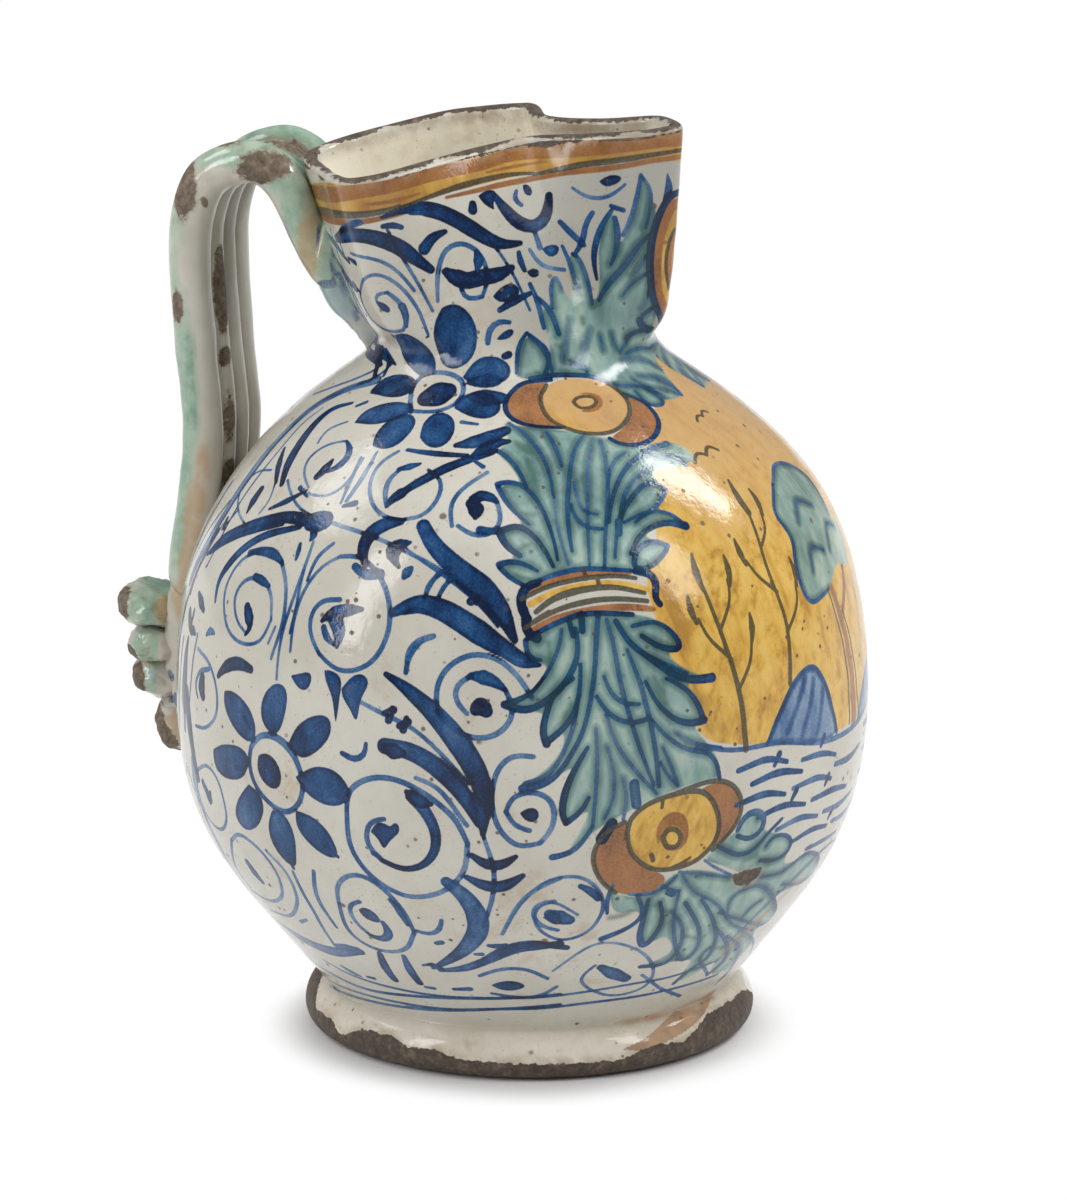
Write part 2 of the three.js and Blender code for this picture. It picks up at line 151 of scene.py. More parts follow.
def bezier(points, steps):
    a, b, c, d = (np.array(point, float) for point in points)
    t = np.linspace(0, 1, steps + 1)[:, None]
    return (1 - t) ** 3 * a + 3 * (1 - t) ** 2 * t * b + 3 * (1 - t) * t * t * c + t ** 3 * d


def hermite(u, start, end, leave, arrive):
    """A cubic from start to end, with the given slopes."""
    return ((2 * u ** 3 - 3 * u ** 2 + 1) * start + (u ** 3 - 2 * u ** 2 + u) * leave
            + (-2 * u ** 3 + 3 * u ** 2) * end + (u ** 3 - u ** 2) * arrive)


def lengths(points):
    return np.concatenate([[0], np.cumsum(np.linalg.norm(np.diff(points, axis=0), axis=1))])


def evenly(line, count, endpoint=True):
    """Places at even steps along a line of (x, y), and their lengths from its start."""
    length = lengths(line)
    want = np.linspace(0, length[-1], count, endpoint=endpoint)
    return np.stack([np.interp(want, length, line[:, k]) for k in (0, 1)], 1), want


def past_ends(points):
    """The points with one more at each end, straight on."""
    return np.vstack([2 * points[0] - points[1], points, 2 * points[-1] - points[-2]])


def swell(value, middle, spread):
    return np.exp(-((value - middle) / spread) ** 2)


def full_turn(sides):
    return np.linspace(0, 2 * math.pi, sides, endpoint=False)[:, None]


# The wall of the jug is one sheet: degrees round from the spout, and millimetres up from the foot.


def sway(z):
    """The wall's drift along X from an upright axis."""
    return sum(size * swell(z, height, spread) for size, height, spread in WALL_DRIFTS) - LEAN * z


def wall_profile():
    """Radius and height up the body, then up the smooth hollow of the waist."""
    bowl = bezier([(FOOT_TOP_RADIUS, FOOT_HEIGHT),
                   (FOOT_TOP_RADIUS + BOWL_SLOPE_LENGTH * math.cos(BOWL_SLOPE),
                    FOOT_HEIGHT + BOWL_SLOPE_LENGTH * math.sin(BOWL_SLOPE)),
                   (BELLY_RADIUS, BELLY_HEIGHT - BOWL_FULLNESS), (BELLY_RADIUS, BELLY_HEIGHT)], 400)
    shoulder = bezier([(BELLY_RADIUS, BELLY_HEIGHT), (BELLY_RADIUS, BELLY_HEIGHT + SHOULDER_FULLNESS),
                       (SEAM_RADIUS + SHOULDER_SLOPE_LENGTH * math.cos(SHOULDER_SLOPE),
                        SEAM_HEIGHT - SHOULDER_SLOPE_LENGTH * math.sin(SHOULDER_SLOPE)),
                       (SEAM_RADIUS, SEAM_HEIGHT)], 400)
    shoulder = shoulder[shoulder[:, 0] > SEAM_RADIUS + FILLET_REACH]
    slope = np.array([-math.cos(SHOULDER_SLOPE), math.sin(SHOULDER_SLOPE)])
    top = np.array([WAIST_RADIUS - WAIST_IN, SEAM_HEIGHT + FILLET_TOP])
    hollow = bezier([shoulder[-1], shoulder[-1] + 8 * slope, top - [0, 6.5], top], 200)
    return np.vstack([bowl, shoulder[1:], hollow[1:]])


WALL = wall_profile()
PROFILE = WALL[WALL[:, 1] < SEAM_HEIGHT]
PROFILE = np.vstack([PROFILE, [np.interp(SEAM_HEIGHT, WALL[:, 1], WALL[:, 0]), SEAM_HEIGHT]])
PROFILE_LENGTH = lengths(PROFILE)
BODY_LENGTH = PROFILE_LENGTH[-1]


def mouth_curve():
    """The lip's outline, at even steps."""
    def on_spout(reach, across):
        return (PINCH_DISTANCE + (SPOUT_REACH - PINCH_DISTANCE) * reach, across * SPOUT_HALF_WIDTH)
    control = [on_spout(*share) for share in FAR_SPOUT]
    control += [(-back * MOUTH_BACK, width * FAR_LOBE) for back, width in FAR_LOBE_SHARES]
    control += [(-MOUTH_BACK, 0.0)]
    control += [(-back * MOUTH_BACK, -width * NEAR_LOBE) for back, width in NEAR_LOBE_SHARES]
    control += [on_spout(*share) for share in NEAR_SPOUT]
    p = np.array(control, float)
    u = np.linspace(0, 1, 60, endpoint=False)[:, None]
    spans = []
    for i in range(len(p)):
        p0, p1, p2, p3 = p[i - 1], p[i], p[(i + 1) % len(p)], p[(i + 2) % len(p)]
        spans.append(hermite(u, p1, p2, 0.5 * (p2 - p0), 0.5 * (p3 - p1)))
    return evenly(np.vstack(spans + [p[:1]]), MOUTH_STEPS, endpoint=False)[0]


MOUTH = mouth_curve()
MOUTH_ALONG = np.roll(MOUTH, -1, 0) - np.roll(MOUTH, 1, 0)
MOUTH_ALONG /= np.linalg.norm(MOUTH_ALONG, axis=1)[:, None]
INWARD = np.stack([-MOUTH_ALONG[:, 1], MOUTH_ALONG[:, 0]], 1)


def at_turn(table, degrees):
    """A row of a table that holds MOUTH_STEPS rows for one turn."""
    f = (np.asarray(degrees, float) % 360) / 360 * MOUTH_STEPS
    i = np.floor(f).astype(int)
    t = (f - i)[..., None]
    return table[i % MOUTH_STEPS] * (1 - t) + table[(i + 1) % MOUTH_STEPS] * t


def lip_height(degrees):
    edge = at_turn(MOUTH, degrees)
    far = 0.9 * swell(np.asarray(degrees, float) % 360, 110, 45)
    return NECK_LENGTH + RIM_RISE * edge[..., 0] + RIM_ROLL * edge[..., 1] + far


def flare_share(degrees, rise):
    """How much of the way the neck has gone from the round waist to the mouth's outline."""
    turn = np.radians(np.asarray(degrees, float) % 360)
    turn = np.minimum(turn, 2 * math.pi - turn)
    power = BACK_FLARE + (SPOUT_FLARE - BACK_FLARE) * swell(turn, 0, SPOUT_SPREAD)
    power = power + (PINCH_FLARE - BACK_FLARE) * swell(turn, PINCH_ANGLE, PINCH_SPREAD)
    rise = np.maximum(rise, 0)
    return rise ** power * (1 - swell(rise, 0, 0.1))


def neck_point(degrees, above, depth=0.0, lift=0.0):
    """A point at a height above the seam, at a depth inside the neck's outside."""
    degrees, above = np.broadcast_arrays(np.asarray(degrees, float), np.asarray(above, float))
    edge = at_turn(MOUTH, degrees) + at_turn(INWARD, degrees) * np.asarray(depth)[..., None]
    height = lip_height(degrees)
    share = flare_share(degrees, (above - WAIST_ABOVE_SEAM) / (height - WAIST_ABOVE_SEAM))
    radius = np.interp(SEAM_HEIGHT + above, WALL[:, 1], WALL[:, 0]) - depth
    turn = np.radians(degrees)
    x = radius * np.cos(turn) * (1 - share) + edge[..., 0] * share
    y = radius * np.sin(turn) * (1 - share) + edge[..., 1] * share
    z = SEAM_HEIGHT + above + lift
    return np.stack([x + sway(z), y, z], -1)


def body_point(degrees, s):
    degrees, s = np.broadcast_arrays(np.asarray(degrees, float), np.asarray(s, float))
    r = np.interp(s, PROFILE_LENGTH, PROFILE[:, 0])
    z = np.interp(s, PROFILE_LENGTH, PROFILE[:, 1])
    turn = np.radians(degrees)
    return np.stack([r * np.cos(turn) + sway(z), r * np.sin(turn), z], -1)


def wall_point(degrees, s):
    """Above BODY_LENGTH, s is height on the neck."""
    degrees, s = np.broadcast_arrays(np.asarray(degrees, float), np.asarray(s, float))
    low = body_point(degrees, np.clip(s, 0, BODY_LENGTH))
    high = neck_point(degrees, np.maximum(s - BODY_LENGTH, 0))
    return np.where((s <= BODY_LENGTH)[..., None], low, high)


def lattice_noise(points, size, seed):
    """Smooth noise from 0 to 1 at points (mm), with features of about the given size (mm)."""
    table = np.random.RandomState(seed).rand(32, 32, 32).astype(np.float32)
    p = points / size + 500.0
    i = np.floor(p).astype(np.int64)
    f = p - i
    f = f * f * (3 - 2 * f)
    out = 0
    for corner in range(8):
        step = [(corner >> k) & 1 for k in range(3)]
        weight = 1
        for k in range(3):
            weight = weight * (f[..., k] if step[k] else 1 - f[..., k])
        at = [(i[..., k] + step[k]) % 32 for k in range(3)]
        out = out + weight * table[at[0], at[1], at[2]]
    return out


# Meshes come from grids of points[round, along] that close on themselves round.


def grid_normals(points):
    around = np.roll(points, -1, 0) - np.roll(points, 1, 0)
    normal = np.cross(around, np.gradient(points, axis=1))
    return normal / (np.linalg.norm(normal, axis=-1)[..., None] + 1e-12)


def grid_faces(columns, rows):
    """Quads of a grid whose vertex number is column * rows + row."""
    i = np.arange(columns)[:, None]
    j = np.arange(rows - 1)[None, :]
    k = (i + 1) % columns
    return np.stack([i * rows + j, k * rows + j, k * rows + j + 1, i * rows + j + 1], -1).reshape(-1, 4)


def as_piece(name, mesh, attributes):
    """Shade a mesh smooth, keep values on its vertices and put it into the scene."""
    mesh.shade_smooth()
    for key, values in attributes.items():
        layer = mesh.attributes.new(key, "FLOAT", "POINT")
        layer.data.foreach_set("value", np.asarray(values, np.float32).ravel())
    piece = bpy.data.objects.new(name, mesh)
    bpy.context.scene.collection.objects.link(piece)
    return piece


def quad_mesh(name, vertices, faces):
    mesh = bpy.data.meshes.new(name)
    mesh.vertices.add(len(vertices))
    mesh.vertices.foreach_set("co", (vertices * MM).astype(np.float32).ravel())
    mesh.loops.add(faces.size)
    mesh.loops.foreach_set("vertex_index", faces.astype(np.int32).ravel())
    mesh.polygons.add(len(faces))
    mesh.polygons.foreach_set("loop_start", np.arange(0, faces.size, 4, dtype=np.int32))
    mesh.update(calc_edges=True)
    return mesh


def lumpy(points, seed, rough, size):
    """Move a hand-rolled surface in and out by up to half of rough (mm), in two sizes of lump."""
    large = lattice_noise(points, size, seed) - 0.5
    small = lattice_noise(points, size / 3, seed + 1) - 0.5
    move = rough * large + rough * 0.5 * small
    return points + grid_normals(points) * move[..., None]


# Foot, body and neck

TURN = np.arange(COLUMNS) * 360.0 / COLUMNS


def revolved(line):
    """A line of (radius, height) turned round the jug's swaying axis."""
    turn = np.radians(TURN)[:, None]
    r, z = line[None, :, 0], line[None, :, 1]
    return np.stack([r * np.cos(turn) + sway(z), r * np.sin(turn), z + 0 * turn], -1)


def foot_profile():
    """The ring's outside from its seat on the body, over the edge and under to the flat base."""
    def bend(a, b, c):
        t = np.linspace(0, 1, 61)[:, None]
        return (1 - t) ** 2 * np.array(a) + 2 * (1 - t) * t * np.array(b) + t * t * np.array(c)
    high = bend((FOOT_TOP_RADIUS, FOOT_HEIGHT), (FOOT_EDGE_RADIUS - 0.5, FOOT_HEIGHT - 3.5),
                (FOOT_EDGE_RADIUS, FOOT_EDGE_HEIGHT))
    low = bend((FOOT_EDGE_RADIUS, FOOT_EDGE_HEIGHT), (FOOT_EDGE_RADIUS, 0.2), (FOOT_BASE_RADIUS, 0.0))
    return evenly(np.vstack([high, low[1:]]), FOOT_ROW_COUNT)[0]


def hand_made(points):
    """Move an outside surface by what a thrown and hand-turned wall shows."""
    ridges = np.sin(points[..., 2] / 1.9 + 4 * lattice_noise(points, 60, 3)) * lattice_noise(points, 35, 4)
    uneven = lattice_noise(points, 45, 5) - 0.5
    fine = lattice_noise(points, 9, 6) - 0.5
    move = 0.07 * ridges + 0.7 * uneven + 0.12 * fine
    return points + grid_normals(points) * move[..., None]


# The foot's profile runs down, so its rows are turned over to run up.
FOOT_ROWS = revolved(foot_profile())[:, ::-1]
BODY_ROWS_AT = np.arange(0, BODY_LENGTH, ROW_PITCH)
BODY_ROWS = body_point(TURN[:, None], BODY_ROWS_AT[None, :])
NECK_S = BODY_LENGTH + np.linspace(0, 1, NECK_ROW_COUNT)[None, :] * lip_height(TURN)[:, None]
NECK_ROWS = neck_point(TURN[:, None], NECK_S - BODY_LENGTH)

# One sheet from the base to the lip, so that wobble and shading run on over the seams.
PAINTED = np.concatenate([FOOT_ROWS[:, :-1], BODY_ROWS, NECK_ROWS], axis=1)
OUTSIDE = hand_made(PAINTED)
OUTSIDE[..., 2] = np.maximum(OUTSIDE[..., 2], 0)
OUTSIDE[:, 0, 2] = 0
OUTSIDE_NORMAL = grid_normals(OUTSIDE)
FOOT_PART = slice(0, FOOT_ROW_COUNT)
BODY_PART = slice(FOOT_ROW_COUNT - 1, FOOT_ROW_COUNT + len(BODY_ROWS_AT))
NECK_PART = slice(FOOT_ROW_COUNT - 1 + len(BODY_ROWS_AT), None)
# S of each row: the foot's rows run below zero.
FOOT_S = -lengths(foot_profile())[::-1]


def body_inner():
    """Down the inside of the globe, over its floor and out under its base."""
    s = np.linspace(BODY_LENGTH, 8, 60)
    line = np.stack([np.interp(s, PROFILE_LENGTH, PROFILE[:, k]) for k in (0, 1)], 1)
    step = np.gradient(line, axis=0)
    step /= np.linalg.norm(step, axis=1)[:, None]
    inner = line + BODY_WALL * np.stack([step[:, 1], -step[:, 0]], 1)
    return revolved(np.vstack([inner, FLOOR_LINE]))


def neck_inner():
    """Over the rounded lip, then down the inside of the neck."""
    lip = [neck_point(TURN, lip_height(TURN), NECK_WALL * (1 - math.cos(math.pi * t)) / 2,
                      LIP_ROUND * math.sin(math.pi * t)) for t in np.linspace(0, 1, LIP_ROW_COUNT + 1)[1:]]
    inside = [neck_point(TURN, level * lip_height(TURN), NECK_WALL) for level in np.linspace(1, 0, 50)[1:]]
    return np.stack(lip + inside, axis=1)


def worn_lip(rows):
    """Bare clay over the lip: always in patches, nearly everywhere along the far side."""
    row = np.arange(rows.shape[1])[None, :]
    over = np.sin(math.pi * np.clip((row + 1) / LIP_ROW_COUNT, 0, 1))
    away = np.maximum(row - LIP_ROW_COUNT, 0) * 1.1
    far = 0.5 - 0.5 * np.cos(np.radians(TURN - 255))[:, None]
    patches = 1.9 * lattice_noise(rows, 9, 77) + 0.5 * lattice_noise(rows, 2.5, 78)
    return 2.6 - 2.0 * over - 0.5 * far + away - patches


# Painting: signed distances (mm, negative inside the paint) are kept on the wall's points.

# Ink is the dark accents, deep the darker green, wash the ochre wash, and clay where no glaze is.
LAYERS = ["blue", "blue_tone", "ink", "ink_tone", "green", "deep", "yellow", "orange", "olive", "wash", "clay"]
UNPAINTED = 9.0
EDGE_REACH = 1.6
NARROWEST_RADIUS = 36.0
LINE_STEP = 1.5
LINE_SMOOTHING = 3
POOLING = 0.2


def blank_layer(key, shape):
    return np.full(shape, 0.0 if "tone" in key else UNPAINTED, np.float32)


class Sheet:
    """A grid of the wall's points, the s of each, and the paint layers on it."""

    def __init__(self, points, s):
        shape = points.shape[:2]
        self.points = points
        self.s = np.broadcast_to(s, shape)
        self.lowest, self.highest = self.s.min(0), self.s.max(0)
        self.layers = {key: blank_layer(key, shape) for key in LAYERS}
        self.wet = np.full(shape, UNPAINTED)
        self.wet_tone = np.zeros(shape)

    def window(self, u, s, reach):
        """Columns and rows within reach (mm) of a set of places."""
        rows = np.nonzero((self.highest > s.min() - reach) & (self.lowest < s.max() + reach))[0]
        if not len(rows):
            return None
        pad = math.degrees(reach / NARROWEST_RADIUS)
        first = int(math.floor((u.min() - pad) / 360 * COLUMNS))
        last = int(math.ceil((u.max() + pad) / 360 * COLUMNS))
        columns = np.arange(first, min(last, first + COLUMNS - 1) + 1) % COLUMNS
        return np.ix_(columns, np.arange(rows[0], rows[-1] + 1))


FOOT_SHEET = Sheet(PAINTED[:, FOOT_PART], FOOT_S)
BODY_SHEET = Sheet(PAINTED[:, BODY_PART], np.append(BODY_ROWS_AT, BODY_LENGTH))
NECK_SHEET = Sheet(PAINTED[:, NECK_PART], NECK_S)
SHEETS = [FOOT_SHEET, BODY_SHEET, NECK_SHEET]


def smooth_line(points):
    """A Catmull-Rom line through (degrees, mm) places."""
    ends = past_ends(np.array(points, float))
    spans = []
    for i in range(1, len(ends) - 2):
        p0, p1, p2, p3 = ends[i - 1:i + 3]
        span = wall_point([p1[0], p2[0]], [p1[1], p2[1]])
        steps = max(2, int(np.linalg.norm(span[1] - span[0]) / LINE_STEP))
        t = np.linspace(0, 1, steps, endpoint=False)[:, None]
        spans.append(hermite(t, p1, p2, 0.5 * (p2 - p0), 0.5 * (p3 - p1)))
    line = np.vstack(spans + [ends[-2:-1]])
    for _ in range(LINE_SMOOTHING):
        line[1:-1] = 0.25 * line[:-2] + 0.5 * line[1:-1] + 0.25 * line[2:]
    return line


def stamp(sheet, layer, where, distance, tone):
    """Lay paint on a sheet; two strokes of one colour are darker where they cross."""
    old = sheet.layers[layer][where]
    if tone is not None:
        shade = sheet.layers[layer + "_tone"][where]
        both = np.clip(np.where((old < 0.4) & (distance < 0), np.maximum(shade, tone) + 0.15, 0), 0, 1.1)
        shade = np.where(distance < 0.7, np.maximum(np.where(old < 0.7, shade, 0), tone), shade)
        sheet.layers[layer + "_tone"][where] = np.maximum(shade, both)
    sheet.layers[layer][where] = np.minimum(old, distance)


def from_segment(p, a, b):
    """How far along the segment from a to b each point's nearest place is (0 to 1), and the way from it."""
    along = b - a
    t = np.clip((p - a) @ along / max(along @ along, 1e-9), 0, 1)
    return t, p - a - t[..., None] * along


def stroke(layer, widths, points, tone):
    """A brush line; widths (mm) are spread evenly along it."""
    line = smooth_line(points)
    place = wall_point(line[:, 0], line[:, 1])
    share = lengths(place)
    share = share / share[-1]
    radius = np.interp(share, np.linspace(0, 1, len(widths)), widths) / 2
    for sheet in SHEETS:
        columns, rows = [], []
        for first in range(0, len(line) - 1, 6):
            last = min(first + 7, len(line))
            where = sheet.window(line[first:last, 0], line[first:last, 1],
                                 radius[first:last].max() + EDGE_REACH)
            if where is None:
                continue
            near = sheet.points[where]
            best = sheet.wet[where]
            for k in range(first, last - 1):
                t, way = from_segment(near, place[k], place[k + 1])
                edge = np.linalg.norm(way, axis=-1) - radius[k] - t * (radius[k + 1] - radius[k])
                best = np.minimum(best, edge)
            if tone is not None:
                shade = tone + POOLING * (share[first:last].mean() - 0.45)
                sheet.wet_tone[where] = np.where(best < sheet.wet[where], shade, sheet.wet_tone[where])
            sheet.wet[where] = best
            columns.append(where[0].ravel())
            rows.append(where[1].ravel())
        if columns:
            where = np.ix_(np.unique(np.concatenate(columns)), np.unique(np.concatenate(rows)))
            stamp(sheet, layer, where, sheet.wet[where], None if tone is None else sheet.wet_tone[where])
            sheet.wet[where] = UNPAINTED


def fill(layer, outline, tone):
    """A closed patch of paint."""
    line = smooth_line(list(outline) + [outline[0]])
    place = wall_point(line[:, 0], line[:, 1])
    for sheet in SHEETS:
        where = sheet.window(line[:, 0], line[:, 1], EDGE_REACH)
        if where is None:
            continue
        u = TURN[where[0].ravel()]
        u = u - 360 * np.round((u - line[:, 0].mean()) / 360)
        vv = sheet.s[where]
        uu = np.broadcast_to(u[:, None], vv.shape)
        near = sheet.points[where]
        best = np.full(uu.shape, UNPAINTED ** 2)
        inside = np.zeros(uu.shape, bool)
        for k in range(len(line) - 1):
            best = np.minimum(best, (from_segment(near, place[k], place[k + 1])[1] ** 2).sum(-1))
            (ua, va), (ub, vb) = line[k], line[k + 1]
            if va != vb:
                cross = (va > vv) != (vb > vv)
                inside ^= cross & (uu < (ub - ua) * (vv - va) / (vb - va) + ua)
        stamp(sheet, layer, where, np.sqrt(best) * np.where(inside, -1, 1), tone)


# Handle


def body_radius(height):
    return np.interp(height, PROFILE[:, 1], PROFILE[:, 0])


def neck_back(above):
    """The neck's reach towards the handle, before the axis leans."""
    lip = NECK_LENGTH - RIM_RISE * MOUTH_BACK
    share = flare_share(180, (above - WAIST_ABOVE_SEAM) / (lip - WAIST_ABOVE_SEAM))
    return WAIST_RADIUS + (MOUTH_BACK - WAIST_RADIUS) * share


def handle_path():
    """Middle line of the strap in (x, z), from the neck over the arch and down to the belly."""
    crest = SEAM_HEIGHT + CREST_ABOVE_SEAM
    arch_top = ARCH_RADIUS - HANDLE_REACH
    mid_root = (ROOT_ABOVE_SEAM + CREST_ABOVE_SEAM - ARCH_DROP / 2) / 2
    touch = STRAP_END_HEIGHT + STRAP_TOUCH_LENGTH
    p = past_ends(np.array([
        (-neck_back(ROLL_TIP_ABOVE_SEAM) + ROLL_TIP_SINK, SEAM_HEIGHT + ROLL_TIP_ABOVE_SEAM),
        (-neck_back(ROOT_ABOVE_SEAM) - ROOT_LIFT, SEAM_HEIGHT + ROOT_ABOVE_SEAM),
        (-neck_back(mid_root) - ROLL_RADIUS / 2, SEAM_HEIGHT + mid_root),
        (arch_top + ARCH_RADIUS * 0.63, crest - ARCH_DROP),
        (arch_top + ARCH_RADIUS * 0.34, crest - ARCH_DROP * 0.23),
        (arch_top, crest),
        (arch_top - ARCH_RADIUS * 0.68, crest - ARCH_RADIUS * 0.28),
        (-HANDLE_REACH, crest - ARCH_RADIUS),
        (-HANDLE_REACH, SEAM_HEIGHT),
        (-HANDLE_REACH + STRAP_TOUCH_LIFT * 0.75, (SEAM_HEIGHT + touch) / 2),
        (-body_radius(touch) - STRAP_TOUCH_LIFT, touch),
        (-body_radius(STRAP_END_HEIGHT) - STRAP_END_LIFT, STRAP_END_HEIGHT),
    ]))
    u = np.linspace(0, 1, 80, endpoint=False)[:, None]
    spans = []
    for i in range(1, len(p) - 2):
        p0, p1, p2, p3 = p[i - 1:i + 3]
        d0, d1, d2 = (math.sqrt(np.linalg.norm(b - a)) for a, b in ((p0, p1), (p1, p2), (p2, p3)))
        leave = ((p1 - p0) / d0 - (p2 - p0) / (d0 + d1) + (p2 - p1) / d1) * d1
        arrive = ((p2 - p1) / d1 - (p3 - p1) / (d1 + d2) + (p3 - p2) / d2) * d1
        spans.append(hermite(u, p1, p2, leave, arrive))
    return evenly(np.vstack(spans + [p[-2:-1]]), STRAP_STEPS)


STRAP, STRAP_LENGTH = handle_path()
STRAP_TANGENT = np.gradient(STRAP, axis=0)
STRAP_TANGENT /= np.linalg.norm(STRAP_TANGENT, axis=1)[:, None]
STRAP_OUT = np.stack([STRAP_TANGENT[:, 1], -STRAP_TANGENT[:, 0]], 1)


def leaned(points):
    points = points.copy()
    size, height, spread = HANDLE_DRIFT
    points[..., 0] -= LEAN * points[..., 2] + size * swell(points[..., 2], height, spread)
    return points


def closed_sweep(name, points, attributes):
    """A tube of points[around, along], closed by a fan at each end."""
    around, rows = points.shape[:2]
    ends = np.stack([points[:, 0].mean(0), points[:, -1].mean(0)])
    i = np.arange(around)
    k = (i + 1) % around
    first_end = np.full(around, around * rows)
    low = np.stack([k * rows, i * rows, first_end], -1)
    high = np.stack([i * rows + rows - 1, k * rows + rows - 1, first_end + 1], -1)
    polygons = grid_faces(around, rows).tolist() + low.tolist() + high.tolist()
    mesh = bpy.data.meshes.new(name)
    mesh.from_pydata((np.vstack([points.reshape(-1, 3), ends]) * MM).tolist(), [], polygons)
    values = {key: np.append(value.ravel(), [value[:, 0].mean(), value[:, -1].mean()])
              for key, value in attributes.items()}
    return as_piece(name, mesh, values)


def roll(side, pitch, radius, inset, seed):
    """One roll of clay in the strap; its ends are rounded off."""
    turn = full_turn(ROLL_SIDES)
    length = STRAP_LENGTH[None, :]
    left = STRAP_LENGTH[-1] - length
    end = np.minimum(length / 6.0, left / 9.0)
    full = np.sqrt(np.clip(1 - (1 - np.clip(end, 0.04, 1)) ** 2, 0, 1))
    tip = 1 - ROLL_TIP_THINNING * np.clip(1 - length / ROLL_TIP_LENGTH, 0, 1) ** 2
    squeeze = 1 - ROLL_END_SQUEEZE * np.clip(1 - left / ROLL_END_LENGTH, 0, 1) ** 2
    uneven = lattice_noise(np.stack([length, 0 * length + seed * 9, 0 * length], -1), 18, seed) - 0.5
    r = radius * full * tip * (1 + 0.05 * uneven)
    across = side * pitch * squeeze + r * np.cos(turn)
    out = r * np.sin(turn) - inset
    x = STRAP[None, :, 0] + STRAP_OUT[None, :, 0] * out
    z = STRAP[None, :, 1] + STRAP_OUT[None, :, 1] * out
    # turned over so that the faces look out
    return leaned(np.stack([x, across + 0 * x, z], -1))[::-1]


def boxy(circle):
    """A circle's sine or cosine, drawn out towards a square's."""
    return np.sign(circle) * np.sqrt(np.abs(circle))


def root_points():
    """A wedge of clay on the back of the neck; its back sits inside the neck's wall."""
    down, thickness = zip(*ROOT_OUTSIDE)
    above = np.linspace(down[0], down[-1], 110)[None, :]
    thick = np.interp(above, down, thickness)
    half = np.interp(above, [ROOT_END_ABOVE_SEAM, ROOT_ABOVE_SEAM], [ROOT_END_HALF_WIDTH, ROOT_HALF_WIDTH])
    turn = full_turn(96)
    face = boxy(np.cos(turn))
    depth = np.where(face > 0, -thick, -ROOT_SEAT) * face
    return neck_point(180 + np.degrees(half * boxy(np.sin(turn)) / neck_back(above)), above, depth)


def tail_points():
    """Half-round sections whose flat side sits inside the body's wall."""
    share = np.linspace(0, 1, 120)
    height = TAIL_TOP_HEIGHT + (TAIL_END_HEIGHT - TAIL_TOP_HEIGHT) * share
    thick = np.interp(share, *zip(*TAIL_OUTSIDE)) * TAIL_THICKNESS
    half = TAIL_WIDTH / 2 * np.interp(share, *zip(*TAIL_TAPER))
    turn = full_turn(72)
    out = np.sqrt(np.clip(np.cos(turn), 0, 1)) * (thick + SEAT_DEPTH)
    across = -half * boxy(np.sin(turn))
    x = SEAT_DEPTH - body_radius(height) - out
    return leaned(np.stack([x, across, height + 0 * out], -1))[::-1]


def knob_places():
    height = STRAP_END_HEIGHT - KNOB_DROP
    places = []
    for index, radius in enumerate(KNOB_RADII):
        if index:
            height -= KNOB_RADII[index - 1] + radius - KNOB_PRESS
        places.append((-(body_radius(height) + TAIL_THICKNESS + KNOB_PROUD[index]), 0.0, height))
    return places


def knob_points(index):
    radius, half = KNOB_RADII[index], KNOB_HALF_WIDTHS[index]
    turn = full_turn(64)
    pole = np.linspace(0.02, math.pi - 0.02, 60)[None, :]
    ball = np.stack([radius * np.cos(turn) * np.sin(pole), half * np.cos(pole) + 0 * turn,
                     radius * np.sin(turn) * np.sin(pole)], -1)
    # pressed flat towards the tail, with its lower side drawn down over the next one
    inner = np.clip(ball[..., 0] / radius, 0, 1)
    wide, tall, shift = KNOB_STRETCH[index]
    ball[..., 0] = ball[..., 0] * wide + KNOB_FLATTENING * radius * inner + shift
    ball[..., 2] *= tall
    ball[..., 2] -= KNOB_SAG * ball[..., 0]
    points = leaned(ball + np.array(knob_places()[index]))
    return lumpy(lumpy(points, 40 + index, 2.2, 8), 50 + index, 0.9, 3.0)


# Materials


def srgb(red, green, blue):
    def part(value):
        value = value / 255
        return value / 12.92 if value <= 0.04045 else ((value + 0.055) / 1.055) ** 2.4
    return part(red), part(green), part(blue), 1.0


GLAZE_LIGHT = srgb(198, 195, 185)
GLAZE_DARK = srgb(180, 175, 162)
GLAZE_MOTTLE = srgb(176, 164, 146)
PAINTED_NECK_SHADE = srgb(132, 132, 124)
INSIDE_GLAZE_WITH_PAINTED_LIGHT = srgb(234, 227, 208)
INSIDE_STAIN = srgb(192, 174, 148)
FOOT_GLAZE_WITH_PAINTED_LIGHT = srgb(238, 230, 214)
TEA_STAIN = srgb(170, 146, 112)
YELLOWS = [(0.44, srgb(212, 174, 86)), (0.54, srgb(202, 158, 60)), (0.66, srgb(164, 118, 34))]
HIGH_YELLOW_PAINTED_SHADE = srgb(184, 142, 70)
PEACH = srgb(186, 148, 106)
ORANGES = [(0.3, srgb(168, 116, 68)), (0.48, srgb(150, 98, 54)), (0.66, srgb(110, 68, 38))]
BURNT_RIM = srgb(124, 84, 48)
GREENS = [(0.36, srgb(162, 180, 168)), (0.46, srgb(126, 156, 150)), (0.56, srgb(90, 126, 124)),
          (0.68, srgb(46, 84, 86))]
DEEP_GREEN = srgb(26, 78, 62)
BLUES = [(0.0, srgb(150, 162, 174)), (0.3, srgb(98, 124, 154)), (0.52, srgb(54, 92, 134)),
         (0.7, srgb(20, 66, 112)), (0.86, srgb(2, 44, 86)), (1.0, srgb(0, 22, 54))]
BLUE_ON_GREEN = srgb(24, 68, 74)
